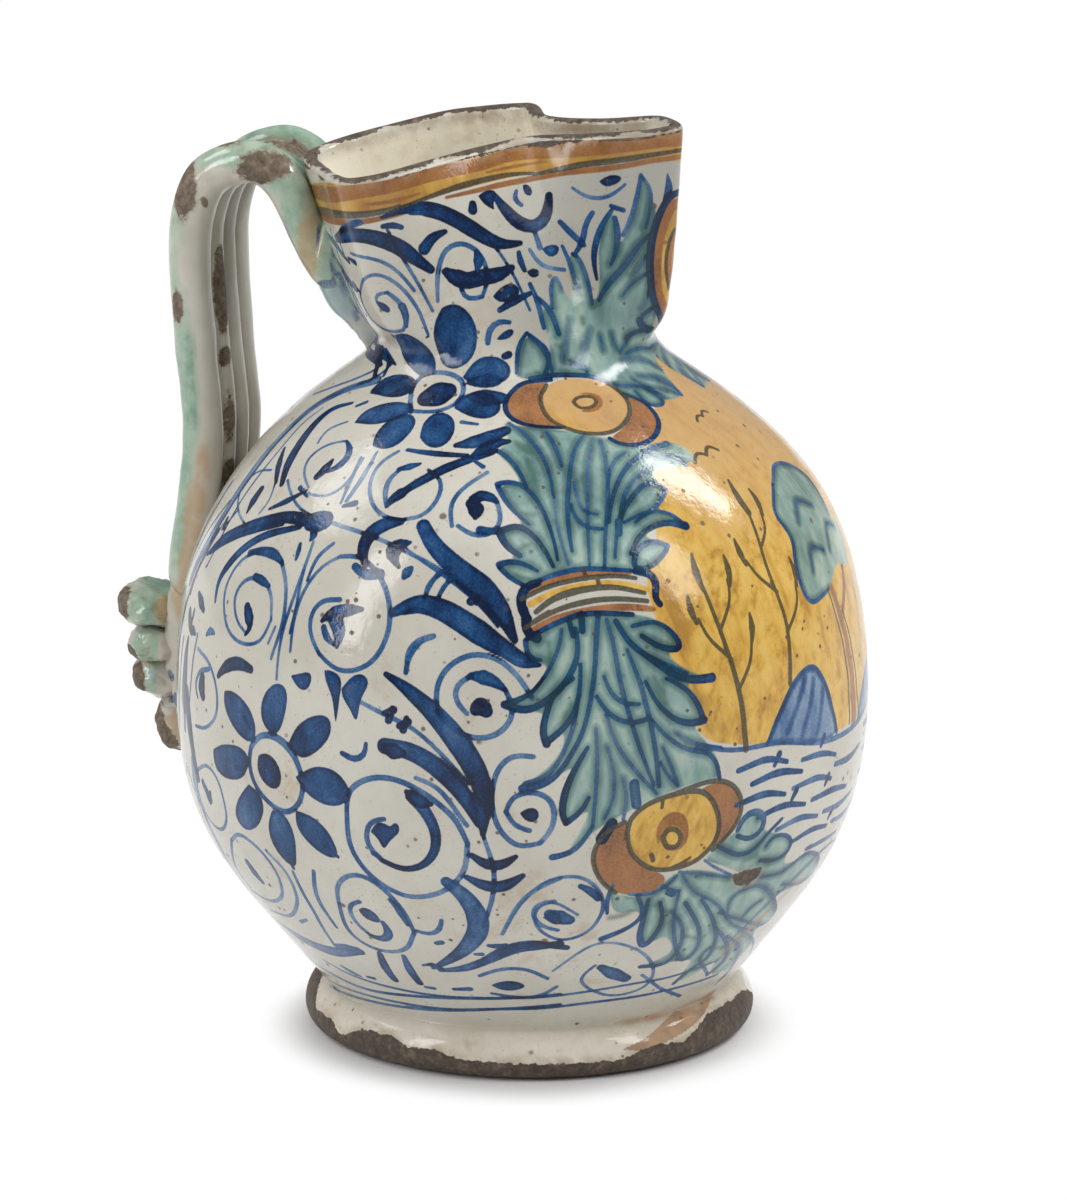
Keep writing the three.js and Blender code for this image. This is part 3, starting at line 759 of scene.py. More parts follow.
OLIVE_LIGHT, OLIVE_DARK = srgb(74, 68, 46), srgb(40, 46, 44)
PIT_BROWN, HOLE_BROWN, SPECK_BROWN = srgb(80, 62, 46), srgb(88, 70, 54), srgb(130, 108, 84)
WASH_LIGHT, WASH_DARK = srgb(186, 134, 82), srgb(140, 96, 60)
GRIME = srgb(168, 146, 118)
CLAY_STAIN = srgb(158, 134, 104)
CLAYS = [(0.34, srgb(54, 48, 42)), (0.52, srgb(86, 75, 64)), (0.7, srgb(126, 114, 100))]

HANDLE_GREENS = [(0.34, srgb(178, 188, 170)), (0.48, srgb(152, 174, 154)), (0.58, srgb(118, 154, 132)),
                 (0.7, srgb(66, 118, 96))]
HANDLE_OCHRE = srgb(172, 134, 84)
HANDLE_BLUE_LIGHT, HANDLE_BLUE_DARK = srgb(96, 118, 146), srgb(28, 58, 98)
HANDLE_HAZE = srgb(158, 174, 186)
HANDLE_GROOVE_SHADE = srgb(112, 98, 80)
HANDLE_STAIN = srgb(140, 118, 96)
HANDLE_CLAYS = [(0.32, srgb(76, 64, 52)), (0.5, srgb(104, 90, 74)), (0.68, srgb(132, 118, 100))]


class Nodes:
    """Short names for building the nodes of a material or world; masks and noises run from 0 to 1."""

    def __init__(self, owner, output="ShaderNodeOutputMaterial"):
        owner.use_nodes = True
        self.owner = owner
        self.tree = owner.node_tree
        self.tree.nodes.clear()
        self.output = self.add(output)
        self.coordinates = None

    def add(self, kind, **settings):
        node = self.tree.nodes.new(kind)
        for key, value in settings.items():
            setattr(node, key, value)
        return node

    def put(self, socket, value):
        if hasattr(value, "links"):
            self.tree.links.new(value, socket)
        else:
            socket.default_value = value

    def math(self, operation, *values):
        node = self.add("ShaderNodeMath", operation=operation)
        for socket, value in zip(node.inputs, values):
            self.put(socket, value)
        return node.outputs[0]

    def total(self, first, *others):
        for other in others:
            first = self.math("ADD", first, other)
        return first

    def product(self, first, *others):
        for other in others:
            first = self.math("MULTIPLY", first, other)
        return first

    def about_zero(self, noise, amount):
        return self.product(self.math("SUBTRACT", noise, 0.5), amount)

    def range(self, value, low, high, to_low=0.0, to_high=1.0):
        node = self.add("ShaderNodeMapRange", interpolation_type="SMOOTHSTEP")
        for socket, given in zip(node.inputs, (value, low, high, to_low, to_high)):
            self.put(socket, given)
        return node.outputs[0]

    def mix(self, share, a, b):
        node = self.add("ShaderNodeMix", data_type="RGBA")
        for index, value in ((0, share), (6, a), (7, b)):
            self.put(node.inputs[index], value)
        return node.outputs[2]

    def tint(self, color, mask, strength, tint):
        """Lay a colour over another where the mask says so."""
        return self.mix(self.product(mask, strength), color, tint)

    def place(self):
        if not self.coordinates:
            self.coordinates = self.add("ShaderNodeTexCoord")
        return self.coordinates.outputs["Object"]

    def noise(self, scale, detail, rough, stretch=None, turn=0.0):
        vector = self.place()
        if stretch:
            mapping = self.add("ShaderNodeMapping", vector_type="TEXTURE" if turn else "POINT")
            mapping.inputs["Scale"].default_value = [1 / value for value in stretch] if turn else stretch
            mapping.inputs["Rotation"].default_value = (0, turn, 0)
            self.put(mapping.inputs[0], vector)
            vector = mapping.outputs[0]
        node = self.add("ShaderNodeTexNoise")
        for key, value in (("Vector", vector), ("Scale", scale), ("Detail", detail), ("Roughness", rough)):
            self.put(node.inputs[key], value)
        return node.outputs[0]

    def cells(self, scale, channel, rarest, widest):
        """The distance from each cell's middle, and a pit's size there, nought in most cells."""
        node = self.add("ShaderNodeTexVoronoi", feature="F1")
        self.put(node.inputs["Vector"], self.place())
        self.put(node.inputs["Scale"], scale)
        chance = self.separate(node.outputs["Color"], channel)
        return node.outputs["Distance"], self.product(self.range(chance, rarest, 1.0), widest)

    def separate(self, vector, axis):
        node = self.add("ShaderNodeSeparateXYZ")
        self.put(node.inputs[0], vector)
        return node.outputs[axis]

    def value(self, name):
        return self.add("ShaderNodeAttribute", attribute_name=name).outputs["Fac"]

    def ramp(self, share, stops):
        node = self.add("ShaderNodeValToRGB")
        elements = node.color_ramp.elements
        while len(elements) < len(stops):
            elements.new(0.5)
        for element, (at, color) in zip(elements, stops):
            element.position = at
            element.color = color
        self.put(node.inputs[0], share)
        return node.outputs[0]

    def mix_shaders(self, share, a, b):
        node = self.add("ShaderNodeMixShader")
        for socket, value in zip(node.inputs, (share, a, b)):
            self.put(socket, value)
        self.put(self.output.inputs[0], node.outputs[0])

    def glaze(self, color, roughness, height):
        """The finished surface; height is in millimetres."""
        shader = self.add("ShaderNodeBsdfPrincipled")
        bump = self.add("ShaderNodeBump")
        self.put(bump.inputs["Distance"], MM)
        self.put(bump.inputs["Strength"], 0.8)
        self.put(bump.inputs["Height"], height)
        self.put(shader.inputs["Base Color"], color)
        self.put(shader.inputs["Roughness"], roughness)
        self.put(shader.inputs["Normal"], bump.outputs[0])
        self.put(self.output.inputs[0], shader.outputs[0])
        return shader


def painted_glaze():
    """White tin glaze with brush-painted colours; distances come from the wall's attributes, in mm."""
    n = Nodes(bpy.data.materials.new("painted_tin_glaze"))
    fine = n.noise(1300, 2, 0.6)
    mid = n.noise(230, 3, 0.6)
    broad = n.noise(28, 3, 0.55)
    streak = n.noise(160, 3, 0.6, stretch=(1.0, 1.0, 0.35))
    flow = n.noise(62, 2, 0.5)
    wobble = n.about_zero(n.noise(700, 2, 0.6), 0.22)
    along, across, high = (n.separate(n.place(), axis) for axis in range(3))

    def cover(layer, soft=0.16):
        return n.range(n.total(n.value(layer), wobble), soft, -soft)

    # the white glaze, mottled; painted shade greys the neck's spout side; inside and on the foot it is creamier
    # and painted lighter
    color = n.tint(GLAZE_LIGHT, n.range(broad, 0.3, 0.7), 0.6, GLAZE_DARK)
    color = n.tint(color, n.range(mid, 0.45, 0.8), 0.2, GLAZE_MOTTLE)
    # painted shade over the neck on the spout's side, above the waist
    neck_shade = n.product(n.range(along, -0.012, 0.022), n.range(high, 0.207, 0.220))
    color = n.tint(color, neck_shade, 0.58, PAINTED_NECK_SHADE)
    stains = n.range(n.noise(90, 4, 0.65), 0.46, 0.74)
    # inside the mouth the glaze is creamier, and painted lighter as painted light where the inside lies in
    # shade
    color = n.mix(n.value("inside"), color, n.tint(INSIDE_GLAZE_WITH_PAINTED_LIGHT, stains, 0.45, INSIDE_STAIN))
    # the foot is creamier, and painted lighter as painted light where the belly shades it
    color = n.tint(color, n.range(high, 0.0165, 0.013), 0.75, FOOT_GLAZE_WITH_PAINTED_LIGHT)
    tea = n.product(n.range(n.noise(70, 4, 0.7), 0.54, 0.70), n.range(n.noise(16, 1, 0.5), 0.42, 0.6))
    color = n.tint(color, tea, 0.48, TEA_STAIN)

    # yellow, brushed on in crossing strokes, and orange
    brush = n.math("MAXIMUM", n.noise(260, 3, 0.6, stretch=(1.0, 1.0, 0.14), turn=0.6),
                   n.noise(200, 3, 0.6, stretch=(1.0, 1.0, 0.12), turn=-0.5))
    yellow = n.ramp(n.total(n.product(brush, 0.7), n.product(flow, 0.3)), YELLOWS)
    # painted shade: the yellow turns darker towards the top
    yellow = n.mix(n.range(high, 0.150, 0.190, 0.0, 0.3), yellow, HIGH_YELLOW_PAINTED_SHADE)
    peach = n.product(n.range(high, 0.150, 0.198), n.range(high, 0.212, 0.207),
                      n.range(n.math("ABSOLUTE", across), 0.052, 0.042))
    yellow = n.tint(yellow, peach, 0.65, PEACH)
    under_yellow = cover("yellow", 0.3)
    color = n.tint(color, under_yellow, 0.95, yellow)
    orange = n.ramp(n.total(n.product(streak, 0.6), n.product(fine, 0.4)), ORANGES)
    under_orange = cover("orange", 0.25)
    color = n.tint(color, under_orange, 0.95, orange)
    rim = n.product(n.range(high, 0.238, 0.250), n.math("MAXIMUM", under_yellow, under_orange))
    color = n.mix(n.product(rim, n.range(flow, 0.35, 0.6, 0.15, 0.5)), color, BURNT_RIM)

    # copper green, darker where it pools beside blue lines, and painted shade that darkens it towards the top
    pooled = n.range(n.value("blue"), 1.9, 0.1, -0.05, 0.1)
    green = n.ramp(n.total(n.product(streak, 0.36), n.product(flow, 0.32), pooled,
                           n.range(high, 0.13, 0.20, 0.15, 0.21)), GREENS)
    leafy = cover("green", 0.45)
    color = n.tint(color, leafy, 0.93, green)
    deep = n.range(n.total(n.value("deep"), n.about_zero(mid, 2.0)), 0.6, -1.5)
    color = n.tint(color, deep, 0.62, DEEP_GREEN)

    # blue in washes and in dark accents, both darker along their edges, and olive lines
    for layer in ("blue", "ink"):
        edge = n.range(n.math("ABSOLUTE", n.total(n.value(layer), 0.3)), 1.5, 0.1, -0.05, 0.1)
        tone = n.total(n.value(layer + "_tone"), edge, n.about_zero(streak, 0.8), n.about_zero(flow, 0.5),
                       n.about_zero(fine, 0.42))
        color = n.mix(cover(layer), color, n.tint(n.ramp(tone, BLUES), leafy, 0.4, BLUE_ON_GREEN))
    olive = n.mix(n.range(fine, 0.35, 0.65), OLIVE_LIGHT, OLIVE_DARK)
    color = n.tint(color, cover("olive"), 0.9, olive)

    # pits, larger holes and specks, mostly outside the blue
    clear = n.math("SUBTRACT", 1.0, n.product(cover("blue"), 0.8))
    away, size = n.cells(380, 0, 0.78, 0.34)
    pit = n.product(n.range(away, size, n.product(size, 0.55)), n.range(broad, 0.36, 0.54), clear)
    color = n.tint(color, pit, 0.85, PIT_BROWN)
    away, size = n.cells(110, 1, 0.72, 0.16)
    hole = n.range(n.total(away, n.about_zero(fine, 0.05)), size, n.product(size, 0.5))
    hole = n.product(hole, clear)
    color = n.tint(color, hole, 0.85, HOLE_BROWN)
    pit = n.math("MAXIMUM", pit, hole)
    speck = n.math("SUBTRACT", n.noise(900, 3, 0.7), n.product(n.noise(40, 2, 0.5), 0.18))
    color = n.tint(color, n.product(n.range(speck, 0.54, 0.63), clear), 0.6, SPECK_BROWN)

    # the ochre wash, grime over the foot, and bare clay with its stained edge
    wash = n.range(n.total(n.value("wash"), n.about_zero(flow, 9.0)), 1.6, -1.8)
    color = n.tint(color, wash, 0.75, n.mix(n.range(streak, 0.35, 0.65), WASH_LIGHT, WASH_DARK))
    grime = n.product(n.range(high, 0.024, 0.006), n.range(n.noise(75, 4, 0.7), 0.36, 0.66))
    color = n.tint(color, grime, 0.28, GRIME)
    clay_at = n.total(n.value("clay"), n.about_zero(n.noise(420, 4, 0.65), 3.0))
    stain = n.product(n.range(clay_at, 3.4, -0.2), n.range(n.noise(180, 3, 0.6), 0.36, 0.62))
    color = n.tint(color, stain, 0.5, CLAY_STAIN)
    bare = n.range(clay_at, 0.12, -0.12)
    clay = n.total(n.product(n.noise(520, 4, 0.7), 0.6), n.product(mid, 0.4))
    color = n.mix(bare, color, n.ramp(clay, CLAYS))

    rough = n.total(n.range(mid, 0.3, 0.75, 0.08, 0.19), n.product(n.math("MAXIMUM", bare, pit), 0.5))
    height = n.total(n.product(n.noise(260, 3, 0.6), 0.13), n.product(fine, 0.022), n.product(pit, -0.2),
                     n.product(bare, -0.35), n.product(bare, n.noise(900, 4, 0.7), 0.35))
    shader = n.glaze(color, rough, height)
    shader.inputs["Specular IOR Level"].default_value = 0.38
    return n.owner


def handle_glaze():
    """Copper-green washes over the white glaze, with worn and ochre patches and painted groove shade."""
    n = Nodes(bpy.data.materials.new("washed_tin_glaze"))
    fine = n.noise(1100, 2, 0.6)
    mid = n.noise(150, 3, 0.6)
    broad = n.noise(38, 3, 0.55)
    run = n.noise(60, 4, 0.6, stretch=(1.0, 1.0, 0.3))

    def patchy(name, noise, amount):
        return n.total(n.value(name), n.about_zero(noise, amount))

    color = n.mix(n.range(broad, 0.3, 0.7), GLAZE_LIGHT, GLAZE_DARK)
    green = n.ramp(n.total(n.product(run, 0.6), n.product(mid, 0.4)), HANDLE_GREENS)
    color = n.tint(color, n.range(patchy("green", run, 1.3), 0.3, 0.75), 0.9, green)
    color = n.tint(color, n.range(patchy("ochre", mid, 1.5), 0.25, 1.0), 0.62, HANDLE_OCHRE)
    blue = n.mix(n.range(fine, 0.3, 0.7), HANDLE_BLUE_LIGHT, HANDLE_BLUE_DARK)
    color = n.tint(color, n.range(patchy("blue", mid, 0.8), 0.35, 0.8), 0.85, blue)
    color = n.tint(color, n.range(patchy("haze", mid, 0.6), 0.2, 0.9), 0.8, HANDLE_HAZE)
    # painted shade: a brownish darkening in the grooves between the rolls
    groove_shade = n.product(n.value("groove_shade"), n.range(n.total(run, n.product(fine, 0.2)), 0.42, 0.72))
    color = n.tint(color, groove_shade, 0.7, HANDLE_GROOVE_SHADE)
    worn = patchy("clay", n.noise(300, 4, 0.65), 1.1)
    color = n.tint(color, n.range(worn, 0.3, 0.6), 0.5, HANDLE_STAIN)
    bare = n.range(worn, 0.5, 0.62)
    color = n.mix(bare, color, n.ramp(n.noise(420, 4, 0.7), HANDLE_CLAYS))

    rough = n.total(n.range(mid, 0.3, 0.75, 0.08, 0.18), n.product(bare, 0.5))
    height = n.total(n.product(n.noise(240, 3, 0.6), 0.14), n.product(fine, 0.02), n.product(bare, -0.3),
                     n.product(bare, n.noise(800, 4, 0.7), 0.4))
    n.glaze(color, rough, height)
    return n.owner


# The pieces


def show(piece, material, node):
    piece.data.materials.append(material)
    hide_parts(node)
    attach(piece, "root")


def build_shell(name, part, inner, sheet, inner_clay=UNPAINTED):
    """An outside sheet with its inside sheet, joined at both ends; inner rows run from the top down."""
    outside = OUTSIDE[:, part]
    points = np.concatenate([outside, inner], axis=1)
    rows = points.shape[1]
    normals = np.concatenate([OUTSIDE_NORMAL[:, part], grid_normals(points)[:, outside.shape[1]:]], axis=1)
    i = np.arange(COLUMNS)
    k = (i + 1) % COLUMNS
    close = np.stack([i * rows + rows - 1, k * rows + rows - 1, k * rows, i * rows], -1)
    faces = np.vstack([grid_faces(COLUMNS, rows), close])
    within = {key: blank_layer(key, inner.shape[:2]) for key in LAYERS}
    within["clay"] = np.broadcast_to(inner_clay, inner.shape[:2])
    values = {key: np.concatenate([sheet.layers[key], within[key]], axis=1) for key in LAYERS}
    row = np.arange(rows)[None, :] - outside.shape[1]
    values["inside"] = np.broadcast_to(np.clip((row - 8) / 6, 0, 1), points.shape[:2])
    mesh = quad_mesh(name, points.reshape(-1, 3), faces)
    piece = as_piece(name, mesh, values)
    mesh.normals_split_custom_set_from_vertices(normals.reshape(-1, 3).astype(np.float32))
    return piece


def build_wall(material):
    foot_inner = revolved(np.array(FOOT_UNDERSIDE))
    show(build_shell("jug_foot", FOOT_PART, foot_inner, FOOT_SHEET), material, "foot_ring")
    show(build_shell("jug_body", BODY_PART, body_inner(), BODY_SHEET), material, "body")
    inner = neck_inner()
    neck = build_shell("jug_neck", NECK_PART, inner, NECK_SHEET, worn_lip(inner))
    show(neck, material, "neck")


# Worn, ochre and green places on the handle: mask, middle and half sizes in mm, amount
SPOTS = [
    ("clay", (-78, -17, 260), (9.5, 7, 5.4), 1.0), ("clay", (-91, -12, 266), (8, 7, 2.2), 0.8),
    ("clay", (-102.5, -18, 252), (5, 8, 9.5), 1.0), ("clay", (-104.8, -16, 216.6), (3, 7, 7), 1.0),
    ("clay", (-96, -20, 248.3), (0.9, 4, 2.2), 0.8), ("clay", (-96.4, -6, 219), (3.2, 3.6, 14), 1.0),
    ("clay", (-96.3, -6, 199), (2.4, 3, 4), 0.9), ("clay", (-95.5, -6, 180), (3, 3.4, 11), 0.9),
    ("clay", (-95.8, -6, 163), (3, 3.6, 7), 0.9), ("clay", (-76, 5, 262.7), (11, 4.4, 5), 0.9),
    ("clay", (-104, -15, 236), (2.4, 5, 12), 0.6), ("clay", (-106, -13, 190), (1.6, 5, 14), 0.5),
    ("ochre", (-62.5, -18, 238), (4.5, 8, 12), 0.95), ("ochre", (-97.6, -19, 165), (2.6, 6, 12), 0.8),
    ("ochre", (-101, -19, 150), (3.6, 6, 13), 0.9), ("ochre", (-103.5, -18, 135), (3.4, 6, 9), 0.9),
    ("ochre", (-92, -19, 257), (9, 5, 3), 0.45), ("ochre", (-66, -12, 262), (7, 6, 5), 0.5),
    ("green", (-101.7, -20, 228.2), (2.2, 5, 5), -0.5), ("green", (-94, -20, 254), (8, 6, 5), -0.35),
    ("green", (-70, -19, 240), (14, 6, 18), 0.35), ("green", (-62, 0, 226), (16, 20, 14), 0.15),
    ("green", (-103.5, -17, 195), (4, 8, 26), 0.25), ("green", (-56, 0, 210), (14, 20, 9), -0.5),
    ("haze", (-56, -12, 220), (7, 14, 7), 0.75), ("haze", (-50, -10, 211), (9, 12, 6), 0.5),
    ("blue", (-58, -16, 226), (3.2, 4, 1.8), 1.3), ("blue", (-60, -18.5, 243.4), (0.9, 3, 9), 0.9),
    ("blue", (-55.4, -18.5, 233), (1.0, 3, 7), 1.0), ("blue", (-52.4, -17, 226), (1.6, 4, 5), 1.0),
    ("blue", (-49.6, -14, 219), (1.5, 3, 6), 1.0), ("blue", (-114.4, -8.0, 98.1), (1.4, 3, 2.2), 1.2),
    ("blue", (-112.5, -8, 90.5), (2.4, 3, 2.6), 1.2), ("blue", (-111, -7, 81.9), (2.2, 4, 1.6), 1.2),
    ("clay", (-118, -4, 77), (5, 8, 6), 1.0), ("clay", (-114.4, -4, 69), (3, 8, 4), 0.9),
    ("ochre", (-107, -9, 121), (7, 5, 9), 0.95), ("ochre", (-104, -16, 127), (6, 7, 5), 1.0),
    ("green", (-108, -9, 100), (9, 6, 26), -0.5), ("ochre", (-110, -7, 76), (4, 6, 8), 0.8),
]
# The same for each knob, from its middle and in shares of its radius
KNOB_SPOTS = [
    [("green", (0.5, -1.7, 0.2), (0.6, 1.0, 0.9), 0.6), ("clay", (-0.5, -1.3, 0.15), (0.56, 1.0, 0.85), 1.1),
     ("ochre", (1.5, -1.0, 0.2), (0.42, 1.2, 0.9), 1.2), ("clay", (0.3, -1.6, -0.95), (0.8, 1.2, 0.2), 0.7),
     ("green", (0.35, -1.8, 0.55), (0.3, 0.8, 0.25), -0.5)],
    [("green", (0.55, -1.7, 0.1), (0.6, 1.0, 0.85), 0.65), ("clay", (-0.5, -1.4, -0.4), (0.4, 0.9, 0.5), 1.0),
     ("clay", (0.42, -1.75, -0.15), (0.26, 0.7, 0.34), 0.55), ("green", (1.4, -1.1, 0), (0.5, 1.5, 1), -0.6),
     ("ochre", (1.5, -1.0, -0.5), (0.5, 1.6, 0.6), 0.6)],
    [("green", (0.5, -1.6, 0.1), (0.42, 1.0, 0.8), 0.7), ("clay", (-0.4, -1.4, 0), (0.6, 1.0, 0.95), 1.1),
     ("green", (1.2, -1.2, 0), (0.5, 1.4, 1), -0.6), ("haze", (0.45, -1.6, 0.35), (0.3, 0.8, 0.35), 0.7)],
    [("clay", (-0.2, -1.4, -0.3), (0.5, 1.0, 0.6), 0.8), ("blue", (0.9, -1.2, 0.4), (0.5, 1.2, 0.4), 0.9),
     ("ochre", (0.8, -1.2, -0.8), (0.8, 1.2, 0.6), 0.6)],
    [("clay", (-0.3, -0.9, -0.1), (0.6, 1.6, 1.5), 1.1), ("ochre", (0.8, -1.2, 0.2), (0.6, 2, 1), 0.9)],
]


def add_spots(masks, points, spots):
    for name, middle, half, amount in spots:
        away = np.sum(((points - np.array(middle)) / np.array(half)) ** 2, axis=-1)
        masks[name] = masks[name] + amount * np.exp(-away ** 2 * 0.8)


def build_handle_piece(material, name, node, points, outward, groove=0.0, knob=None):
    """Outward says how far a surface faces away from the jug; groove, how deep it lies between rolls, sets
    painted shade.
    """
    flat = 0 * points[..., 0]
    masks = {key: flat for key in ("ochre", "clay", "blue", "haze")}
    masks["green"] = 0.42 + 0.38 * np.clip(outward * 1.6 + 0.3, -1, 1) + flat
    # painted shade, as deep as the surface lies between the rolls
    masks["groove_shade"] = groove + flat
    add_spots(masks, points, SPOTS)
    if knob is not None:
        middle = leaned(np.array(knob_places()[knob]))
        add_spots(masks, (points - middle) / KNOB_RADII[knob], KNOB_SPOTS[knob])
    show(closed_sweep(name, points, masks), material, node)


def build_handle(material):
    turn = full_turn(ROLL_SIDES)[::-1]
    for name, side, pitch, radius, inset, seed in (
            ("edge_roll_right", -1, 1.5, ROLL_RADIUS, 0, 11), ("edge_roll_left", 1, 1.5, ROLL_RADIUS, 0, 12),
            ("rib_right", -1, 0.5, RIB_RADIUS, RIB_INSET, 13), ("rib_left", 1, 0.5, RIB_RADIUS, RIB_INSET, 14)):
        points = lumpy(roll(side, pitch * STRAP_PITCH, radius, inset, seed), seed, 0.5, 16)
        inner = -side * np.cos(turn) if pitch > 1 else np.abs(np.cos(turn))
        build_handle_piece(material, "strap_" + name, "handle_" + name, points, np.sin(turn),
                           np.clip(inner * 2.2 - 1.1, 0, 1))
    build_handle_piece(material, "strap_root", "handle_root", lumpy(root_points(), 21, 0.5, 14), 0.3)
    tail = lumpy(lumpy(tail_points(), 22, 1.6, 10), 23, 0.8, 4)
    build_handle_piece(material, "strap_tail", "handle_tail", tail, -0.3)
    for knob in range(len(KNOB_RADII)):
        build_handle_piece(material, f"curled_knob_{knob + 1}", f"terminal_knob_{knob + 1}", knob_points(knob),
                           0.2 - 0.25 * knob, knob=knob)


# Decoration

FOOT_GLAZE_EDGE = -11.5
# Degrees round, half spread in degrees, and how far the bare clay climbs (mm)
FOOT_CHIPS = [(-165, 22, 11), (-134, 6, 4.0), (-112, 9, 3.6), (-96, 5, 1.5), (-36, 8, 2.0), (-6, 19, 8.0),
              (150, 12, 5), (95, 8, 4), (60, 10, 2.5)]

# Rows of the tables: kind (S stroke, F filled patch), layer, tone, brush widths in mm, then places as
# degrees,mm along the wall. A row that starts with blanks goes on from the one above.

# Where the rim's bands meet, behind the handle and on the spout
RIM_ENDS = """
F yellow - - : -169,274.8 -180,275.8 -191,274.8 -191,266.5 -180,266.2 -169,266.5
S orange - 3.4,3.4 : -169.5,271.6 -180,272.4
S olive - 2.2,2.2 : -168.5,266 -180,266.5
S orange - 1.4,1.4 : -168,264.2 -180,264.8
F yellow - - : -4,294 5,294 5,286.5 -4,286.5
S orange - 4.8,4.8 : -2.5,293.2 4,293.2
S olive - 1.2,1.2 : -2.5,289.3 4,289.2
S orange - 1.4,1.4 : -2.5,287.3 4,287.2
"""
